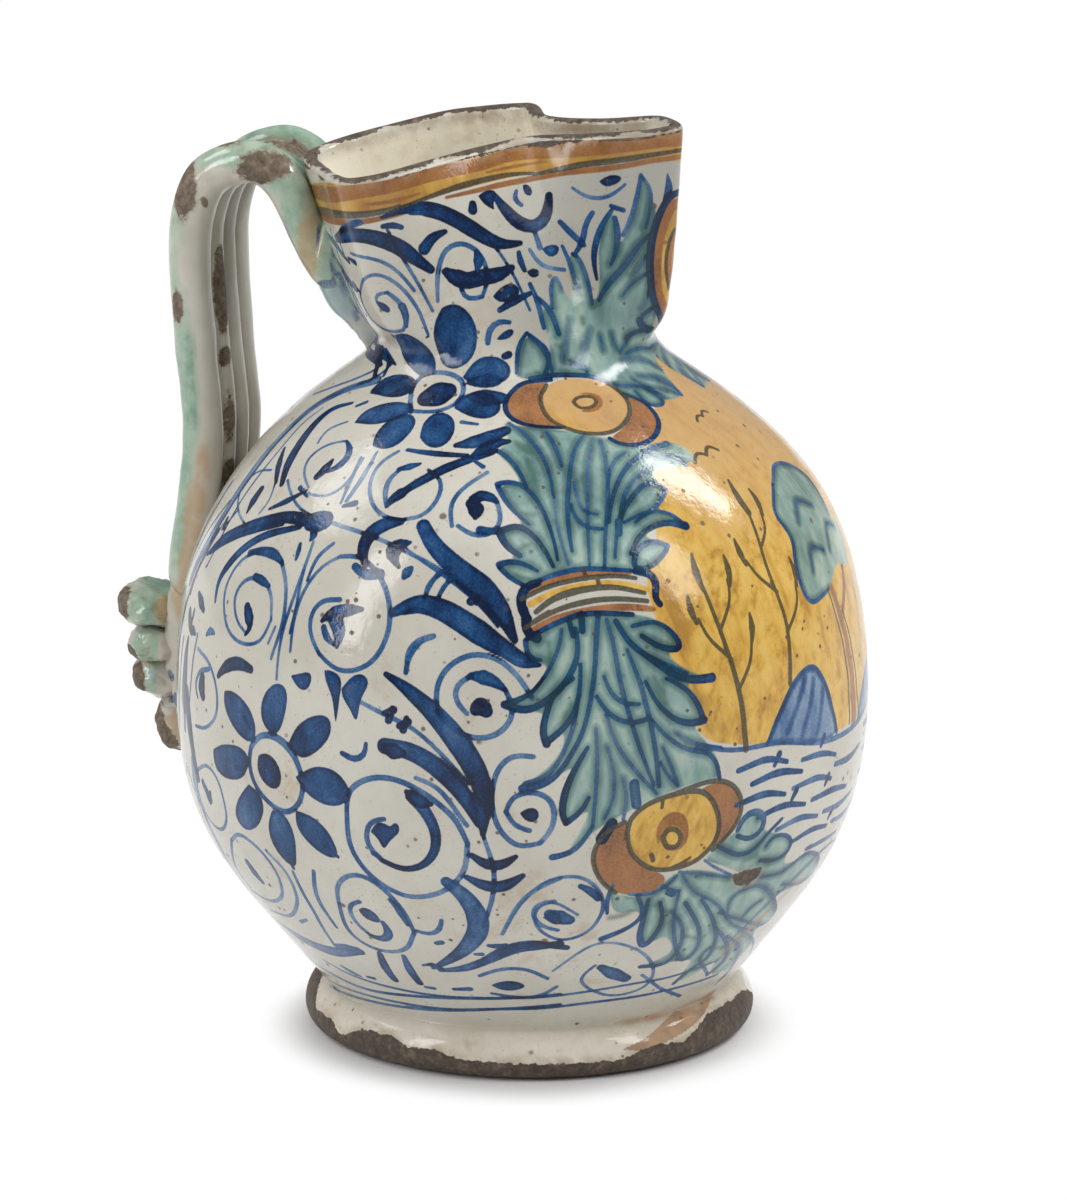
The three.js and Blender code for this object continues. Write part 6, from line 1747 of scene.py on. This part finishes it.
F green - - : -32.2,78.5 -31.3,82.5 -29,83.5 -26.3,80.8 -26.5,76.5 -21.2,73 -17.8,69.6 -18.2,65.7 -18.8,62
  -14.2,60.9 -10.8,62.1 -3.6,57 -1.3,50 -7.4,49 -14,49.2 -17.5,48.8 -24.8,56.5 -30.4,63.9 -35.8,68.8
  -38.2,70.5 -36.4,74 -33.8,76.8
S ink .45 1.6,2.2,1.8,1.4 : -32.2,78.5 -31.3,82.5 -29,83.5 -26.3,80.8 -26.5,76.5 -29.4,74.4 -32.1,76.6
S blue .7 1.2,1.5,1.3 : -24.9,70.4 -24,72.8 -21.2,73 -17.8,69.6 -18.2,65.7 -21.7,64.4 -25.6,66
S blue .6 1,1.4,1.1 : -24.2,59.4 -17.7,58.5 -14.2,60.9 -10.8,62.1 -3.6,57 -1.3,50 -7.4,49 -15.7,52.9
S blue .64 1.2,1.5,1.4,1.2 : -35.8,74.3 -31.3,70 -27.7,70.5 -25.5,74.3 -22,78.3
S blue .44 0.9,1,0.9 : -42.9,68 -37.7,65.5 -32,62.5
S blue .44 0.9,0.9 : -38.2,70.5 -35.7,67.2 -31.4,62.9
S blue .5 1,1.4,1.2,1 : -29.4,47.4 -30.3,53.5 -27.6,56.6 -23.2,55.9 -17,48.5 -10.7,38.2 -12.7,34.5 -23,41.5
  -31.8,49
S blue .5 0.9,1 : -24.1,42.6 -23.3,47 -20.5,49.1
S blue .6 1.2,1.4,1 : -54.7,65.7 -55.5,60.8 -55.2,55.3
S deep - 2.4,2.7,1.8 : -54.6,53.6 -52.8,53.5 -50.5,55.6
S blue .66 1.2,1.5,2.1 : -50,60.8 -48.4,53.9 -50.5,48.7 -55.5,44.6
S blue .7 1.2,1.7,2.2,1.5,1.2 : -47.9,59.3 -48.1,51.6 -48.1,44.4 -46.5,38.8 -44.9,43.5 -44.2,50.5 -45.6,57.6
S blue .54 1,1.4,1.7 : -42.9,53.5 -39.6,46.6 -37.8,36 -39.3,28.5 -45.4,29
S blue .56 1,1.5,1.3 : -42.2,60.9 -41.9,49.9 -38.9,36.4 -34.9,28.1 -32.7,32.5 -34.8,42.5 -40.4,56
S blue .64 1.1,1.5,1.7 : -37,56 -32.6,46.5 -28.7,36 -27.3,26.1 -30.7,22.4 -33.3,16.5
S blue .62 1.1,1.4,1.5 : -30.7,42 -23.5,31.1 -19.1,21 -22.3,16
S blue .55 1.1,1.3 : -22.3,16 -30.2,27.5 -28.8,32.1
S blue .6 1,1.3,1.4 : -25.5,35.9 -17.4,26.9 -10.8,14.5 -12.6,7.1
S blue .45 0.9,1.1 : -22.7,37 -13,28.4 -1.2,14.7
S blue .48 0.9,1.1,1 : -42.2,66.8 -39.3,60 -33.6,53.6 -25.8,41 -16.5,34
S blue .5 1.1,1.1 : -45.6,63.7 -43.9,61.4 -42.2,60.9
S ink .5 2.6,2 : -44.1,61.1 -43.3,60
S deep - 1.5,2.2,1.5 : -46.5,56.7 -44.4,53.9 -43,52.5
S deep - 1.5,2.6,1.5 : -29.2,31 -25.9,30.9 -22.2,28.5
S deep - 1.7,2.7 : -29.7,67.5 -26.9,68.4
S deep - 1.7,2.4,1.5 : -37.7,41 -33.6,38.1 -32.5,39
F clay - - : -31.4,62.4 -30.4,63.9 -27,63.1 -24.8,64.1 -24.1,61.4 -25.5,58.9 -27.2,57.5 -30.2,59
S blue .84 1.2,1.6,1.5,1.3 : -64.8,225.8 -57,226.4 -45,225.9 -38.8,224.8 -34.5,222.8 -32.9,220.3 -32.1,216.9
# upper roundel
F yellow - - : -62.3,219.2 -61.8,213.8 -59.2,209.8 -55.8,207.5 -51.8,205.5 -46.3,204.7 -41.7,205.8 -37.3,208.7
  -33.5,212.6 -32,218 -34.5,222.3 -39.5,224.3 -46.3,225.2 -54.4,225.1 -59,223.9 -61.7,221.7
F orange - - : -57.9,224.9 -66.2,224.7 -71.3,222.7 -73.6,217.5 -72.1,213 -67.6,210 -61.9,208.8 -57.2,208.5
  -59.8,210.2 -62.2,213.8 -62.5,219.2 -60.8,223.2
F orange - - : -31.2,218.3 -27.5,214.3 -26.5,209 -29,204.1 -34.3,200.5 -39.1,199.9 -43.4,201.2 -45.2,203.3
  -40.7,205.3 -35,210.2 -32.1,214.2
F orange - - : -48.7,220.7 -46,221.1 -40.8,219.7 -40.8,216.5 -44.2,213.3 -48,213 -51.2,214.2 -48.8,214.5
  -45.3,214.8 -42.5,217.2 -43.3,219.5 -46.7,220.3
S olive - 1.2,1.4,1.3 : -59,224 -61.7,221.7 -62.3,219.2 -61.8,213.8 -59.2,209.8 -55.8,207.5 -51.8,205.5
  -46.3,204.7 -41.7,205.8 -37.3,208.7 -33.5,212.6 -32,218 -34.5,222.3
S olive - 1.1,1.1 : -51.3,217.7 -50,219.3 -47,219.7 -43.5,219.2 -43,217.2 -45,215.4 -48,214.7 -50.7,215.3
  -51.3,217.7
S blue .84 1.2,1.5,1.2 : -56.8,225.2 -67,224.9 -72,222.6 -74.3,217.7 -72.8,212.7 -68.3,209.7 -62.1,208.5
  -57.3,208.2
S blue .84 1.2,1.6,1.4 : -32.1,218.9 -27.5,215.3 -26.2,209.3 -28.6,204.4 -34,200.3 -39.3,199.3 -44,200.7
  -45.3,202.8
# binding
F orange - - : -67.6,157.5 -64.1,159 -59.7,160.2 -55.2,159.8 -49.9,159 -50,157.8 -53.7,158.3 -59.9,158
  -64.6,156.4 -68.9,153.5 -69.5,154.5
F yellow - - : -69.1,151.4 -65,154.8 -59.8,156.7 -53.9,157 -48.2,154.7 -46.4,152 -47.7,152.3 -53.1,155
  -58.7,155.2 -64.4,153.5 -69,149
S blue .7 1.2,1.5,1.4,1.2 : -68.8,156.2 -65.7,158.7 -62.5,160 -59.3,160.8 -55.2,160.3 -50.3,159.3
S olive - 1.3,1.4,1.2 : -70,152.3 -65.8,155.7 -59.8,157.8 -53.7,158.2 -49.6,157
S olive - 1.4,2,1.6,1.2 : -67.6,148.5 -64.7,152.2 -60,154.5 -53.9,154.9 -48.4,152.4
S blue .86 2.2,2.6,2.4 : -67.4,157 -69.5,156 -70.4,153 -70,148.8 -69,146.5
S blue .8 2,2.2,1.8 : -49.4,159 -46.1,157.5 -45.8,153.8 -46.9,150.8 -45.8,148.7
S olive - 1.2,1.2 : -59.1,160.6 -58.6,158.6 -58.8,157.7
S olive - 1.1,1.1 : -56.6,157 -56.3,155.2
F orange - - : -68.7,143.8 -65.4,147 -60.9,149 -55.9,150 -50.8,149.7 -46.5,148 -46.6,146.5 -50.5,147.5 -56,148
  -60.1,147.5 -64.6,145.1 -67.7,142.3
S olive - 1.2,1.6,1.3 : -69.4,144 -65.7,147.8 -61.7,150.2 -56.6,151.5 -52.3,151.2 -48.1,150
S olive - 1,1.2 : -69,144.5 -67.8,146.2 -65.4,148.5
S blue .7 1.4,1.6,1.4 : -68.9,141 -67.7,142.2 -64.5,145 -60.1,147.5 -56,147.5 -51,146.5
S blue .84 2.2,2.4,2.6 : -70.2,150.7 -69,148 -69.7,145.2 -68.7,141.7 -67.4,141
# lower roundel
F yellow - - : -52.5,83.5 -52,87.8 -49.8,90.8 -46.6,92.6 -42.6,92.9 -39.6,92 -37.2,87 -36.3,80.7 -36.8,75.5
  -39.4,71.3 -43,69.4 -47,69.5 -50.1,72.5 -52,77.3
F orange - - : -52.8,86.2 -55.7,84 -57.9,79 -58.2,72.8 -56.6,67 -53.1,62.4 -49,61.1 -46.1,63 -44.8,66.5
  -47.5,69.3 -50.4,72.4 -52.3,77.3 -52.8,82.8
F orange - - : -40.1,93.6 -37.4,94.9 -34.2,92.9 -32.1,88 -32.2,82.8 -33.8,77.3 -36.4,74 -37.6,75.6 -36.5,79
  -36.4,84.1 -37.8,89.3
F orange - - : -47.5,78.2 -48,83.5 -46,88 -42.9,86.9 -41.9,81.4 -42.4,76.1 -44.9,74.9 -46.7,76.7 -46,77.5
  -43.9,75.6 -42.8,77.5 -43,81.5 -44.1,83.1 -45.3,83.5 -46.5,82.4 -46.7,79.5
S olive - 1.4,1.6,1.3 : -52.9,81 -52.4,87 -49.8,90.8 -46.6,92.6 -42.6,93.5 -39.6,92.6 -37.3,87.8 -36.2,82.4
  -36.6,76.4 -39.4,71.3 -43,69.4 -47,69.5 -50.1,72.5 -52.3,77.3 -52.8,82.8
S olive - 1.5,1.5 : -46.6,79.9 -46.2,82.2 -45,82.8 -43.6,81.5 -43.2,78.8 -43.7,76.7 -45,76.1 -46.2,77.5
  -46.6,79.9
S olive - 1.2,1.4,1.3 : -53.3,86.2 -56.2,83.7 -58.1,79 -58.3,73.7 -56.6,67 -54.1,63
S olive - 1.2,1.5,1.4 : -44.6,93.5 -40.6,95 -37.4,95.4 -34.2,93.3 -32,88 -32.2,82 -34.4,77 -36.9,73.6
S blue .5 1.1,1.3,1.1 : -51.6,62 -48,61.1 -45.1,63.1 -43.3,66.5
S blue .84 3.4,3 : -57,81.5 -55.4,86.1
S olive - 1.1,1 : -46.9,92.5 -47.1,89.5
S olive - 1.1,1 : -45,69.5 -42.6,70.6 -41.2,72.2
S olive - 1.4,1.4 : -48.4,75 -48,73
# rim bands
F yellow - - : -170.2,273.6 -135.2,279.5 -117.7,280.8 -108.8,282 -97.3,283.5 -84.8,285 -72.8,286.5 -63.5,287.6
  -52.7,289 -48.3,289.5 -34.7,291 -20.8,292.5 -9.6,293.6 -0.7,294.9 -1.3,287.8 -16.5,287.1 -28.6,285.1
  -41.4,283.6 -54,281.5 -65.8,279.7 -78,277.9 -90.7,276.3 -104,274.4 -113.5,272.9 -126.6,271.2 -169.3,265.5
  -170.1,268.9
S orange - 3.6,4.4,4.4,4.2,4.2,3.4,3.8,4.4,4.8,5 : -170.3,271.5 -134.7,275.9 -116.3,279.3 -106.3,280.8
  -96.2,282.2 -83.2,283.3 -71.8,284.2 -62.2,286.2 -53,286.9 -40.7,288.3 -28.5,289.9 -16.7,291.8 -7.7,293.2
  -1.7,293.6
S orange - 0.8,1.2,0.6 : -115.2,275.2 -106,276.1 -95.7,277.6
S orange - 0.5,1,0.5 : -70,281.9 -60.3,283.2 -49,284.5
S olive - 2.2,2.6,2.2,1.4 : -169.3,266 -136.8,269.9 -121,271.7 -112.3,272.8 -104.2,274.3
S olive - 0.8,1.3,1.7,1.5,1 : -104,274.1 -90.7,276.6 -81.5,278.4 -75.2,279.3 -68,280.4 -60.8,281.2 -54,281.3
S olive - 0.9,1.7,1.7,1.5,1.1 : -54,281 -46.8,282.3 -35,284.4 -22.5,286.1 -10.8,288.2 -1.5,289.4
S orange - 1.4,2.2,1.8,1 : -168.8,264.1 -131.8,268.2 -116.5,270.2 -109.3,271.5 -99.2,273.1
S orange - 0.8,1.6,1.7,1.5,1.4 : -85.8,275.7 -73.2,277.2 -66,278.4 -58.8,279.3 -51.8,280.3 -41.5,282
  -28.7,283.3 -18.8,284.8 -9.7,286.7 -1.3,287.3
S olive - 0.5,0.9,0.5 : -28.7,291.5 -19.2,292.5 -9.6,293.6
"""

BRUSH = 1.12
# A stroke is darker by this much for each millimetre that it is wider than the middle width
TONE_PER_MM, MIDDLE_WIDTH = 0.1, 2.2


def draw(table, turn_over=False):
    for row in table.replace("\n  ", " ").splitlines():
        if not row.strip() or row.startswith("#"):
            continue
        head, body = row.split(":")
        kind, layer, tone, widths = head.split()
        points = [tuple(float(value) for value in pair.split(",")) for pair in body.split()]
        if turn_over:
            # the other side, drifting a little so that it isn't an exact mirror image
            points = [(2.0 * math.sin(s / 37) - u, s + 1.5 * math.sin(u / 9)) for u, s in points]
        tone = float(tone) if layer in ("blue", "ink") else None
        if kind == "F":
            fill(layer, points, tone)
            continue
        width = [BRUSH * float(value) for value in widths.split(",")]
        if tone is not None:
            tone += float(np.clip(TONE_PER_MM * (np.mean(width) - MIDDLE_WIDTH), -0.12, 0.06))
        stroke(layer, width, points, tone)


def wear_edges():
    """Where the glaze stops: along the foot's edge, with chips, and worn off the lip."""
    edge = FOOT_GLAZE_EDGE + 3.0 * (lattice_noise(FOOT_SHEET.points * [1, 1, 0], 16, 71) - 0.5)
    for at, spread, up in FOOT_CHIPS:
        away = (TURN[:, None] - at + 180) % 360 - 180
        edge = edge + up * np.exp(-(away / spread) ** 4)
    depth = BODY_LENGTH + lip_height(TURN)[:, None] - NECK_SHEET.s
    worn = 3.0 * lattice_noise(NECK_SHEET.points, 9, 75) - 1.5
    for sheet, distance in ((FOOT_SHEET, FOOT_SHEET.s - edge), (NECK_SHEET, depth - worn)):
        sheet.layers["clay"][:] = np.minimum(sheet.layers["clay"], distance)


draw(SCENERY)
draw(DRAWING)
draw(DRAWING, turn_over=True)
draw(RIM_ENDS)
wear_edges()
build_wall(painted_glaze())
build_handle(handle_glaze())

# Camera, lights and backdrop, in metres apart from the floor's radius and depth, which are in mm

CAMERA_AZIMUTH = math.radians(20)
CAMERA_ELEVATION = math.radians(14)
CAMERA_DISTANCE = 1.9
CAMERA_SLIDE = 0.00105
LENS = 190
SENSOR_WIDTH = 36
MIDDLE = Vector((0, 0, 0.13))
UP = Vector((0, 0, 1))
RIGHT = Vector((math.cos(CAMERA_AZIMUTH), math.sin(CAMERA_AZIMUTH), 0))
FRONT = Vector((math.sin(CAMERA_AZIMUTH), -math.cos(CAMERA_AZIMUTH), 0))
BACKWARDS = FRONT * math.cos(CAMERA_ELEVATION) + UP * math.sin(CAMERA_ELEVATION)
# Name, place from the jug's middle to the right, to the front and up, width, height, and watts
SOFTBOXES = [
    ("high_softbox", 0.89, -0.23, 1.03, 0.26, 0.56, 8),
    ("right_softbox", 0.97, 0.56, 0.80, 0.3, 0.66, 4.6),
    ("left_softbox", -1.04, 0.68, 0.57, 0.26, 0.8, 5.5),
    ("left_high_softbox", -0.96, -0.18, 0.96, 0.5, 0.4, 3.4),
    ("front_softbox", 0, 0.8, 1.36, 0.3, 0.7, 1.2),
    ("top_softbox", 0, 0.4, 1.5, 1.3, 0.9, 7.6),
]
WORLD_COLOR = (1.0, 0.99, 0.98, 1)
WORLD_STRENGTH = 0.283
GLOSSY_SHARE = 0.12
WHITE = (1, 1, 1, 1)
FLOOR_RADIUS = 6000
FLOOR_DEPTH = 0.05
FLOOR_SIDES, FLOOR_RINGS = 48, 60
FLOOR_COLOR = (0.93, 0.93, 0.93, 1)
# The floor shows the jug's shadow near its foot and fades to white between these distances
SHADOW_SHIFT = 0.008
SHADOW_NEAR, SHADOW_FAR = 0.064, 0.083


def face_along(thing, place, backwards):
    """Put a camera or light at a place, looking against the given direction."""
    thing.location = place
    thing.rotation_euler = backwards.to_track_quat("Z", "Y").to_euler()
    bpy.context.scene.collection.objects.link(thing)


def add_camera():
    data = bpy.data.cameras.new("photo_camera")
    data.lens = LENS
    data.sensor_width = SENSOR_WIDTH
    data.clip_end = 20
    camera = bpy.data.objects.new("photo_camera", data)
    face_along(camera, MIDDLE + RIGHT * CAMERA_SLIDE + BACKWARDS * CAMERA_DISTANCE, BACKWARDS)
    bpy.context.scene.camera = camera


def add_softboxes():
    for name, right, front, up, width, height, watts in SOFTBOXES:
        data = bpy.data.lights.new(name, "AREA")
        data.shape = "RECTANGLE"
        data.size, data.size_y = width, height
        data.energy = watts
        light = bpy.data.objects.new(name, data)
        away = RIGHT * right + FRONT * front + UP * up
        face_along(light, MIDDLE + away, away)
        # the widest one only fills, and has no mirror image in the glaze
        light.visible_glossy = name != "top_softbox"


def add_world():
    """A pale room that lights the object plainly but shows as white itself."""
    world = bpy.data.worlds.new("pale_studio")
    n = Nodes(world, "ShaderNodeOutputWorld")
    lit, seen = n.add("ShaderNodeBackground"), n.add("ShaderNodeBackground")
    for node, color, strength in ((lit, WORLD_COLOR, WORLD_STRENGTH), (seen, WHITE, 1)):
        n.put(node.inputs[0], color)
        n.put(node.inputs[1], strength)
    path = n.add("ShaderNodeLightPath").outputs
    white = n.math("MAXIMUM", path["Is Camera Ray"], path["Is Transmission Ray"])
    # the glaze mirrors only a little of the white
    white = n.math("MULTIPLY_ADD", path["Is Glossy Ray"], GLOSSY_SHARE, white)
    n.mix_shaders(white, lit.outputs[0], seen.outputs[0])
    bpy.context.scene.world = world


def add_floor():
    radius = FLOOR_RADIUS * np.linspace(0, 1, FLOOR_RINGS)[None, :] ** 3
    turn = full_turn(FLOOR_SIDES)
    points = np.stack([radius * np.cos(turn), radius * np.sin(turn), -FLOOR_DEPTH + 0 * radius * turn], -1)
    faces = grid_faces(FLOOR_SIDES, FLOOR_RINGS)[:, ::-1]
    piece = as_piece("studio_floor", quad_mesh("studio_floor", points.reshape(-1, 3), faces), {})
    n = Nodes(bpy.data.materials.new("studio_floor"))
    shifted = n.add("ShaderNodeVectorMath", operation="SUBTRACT")
    n.put(shifted.inputs[0], n.place())
    n.put(shifted.inputs[1], FRONT * SHADOW_SHIFT)
    away = n.add("ShaderNodeVectorMath", operation="LENGTH")
    n.put(away.inputs[0], shifted.outputs[0])
    path = n.add("ShaderNodeLightPath").outputs
    seen = n.math("MAXIMUM", path["Is Camera Ray"], path["Is Glossy Ray"])
    diffuse = n.add("ShaderNodeBsdfDiffuse")
    n.put(diffuse.inputs[0], FLOOR_COLOR)
    glow = n.add("ShaderNodeEmission")
    n.put(glow.inputs[1], 1)
    far = n.range(away.outputs["Value"], SHADOW_NEAR, SHADOW_FAR)
    n.mix_shaders(n.product(far, seen), diffuse.outputs[0], glow.outputs[0])
    piece.data.materials.append(n.owner)


add_camera()
add_softboxes()
add_world()
add_floor()
bpy.context.scene.view_settings.view_transform = "Standard"
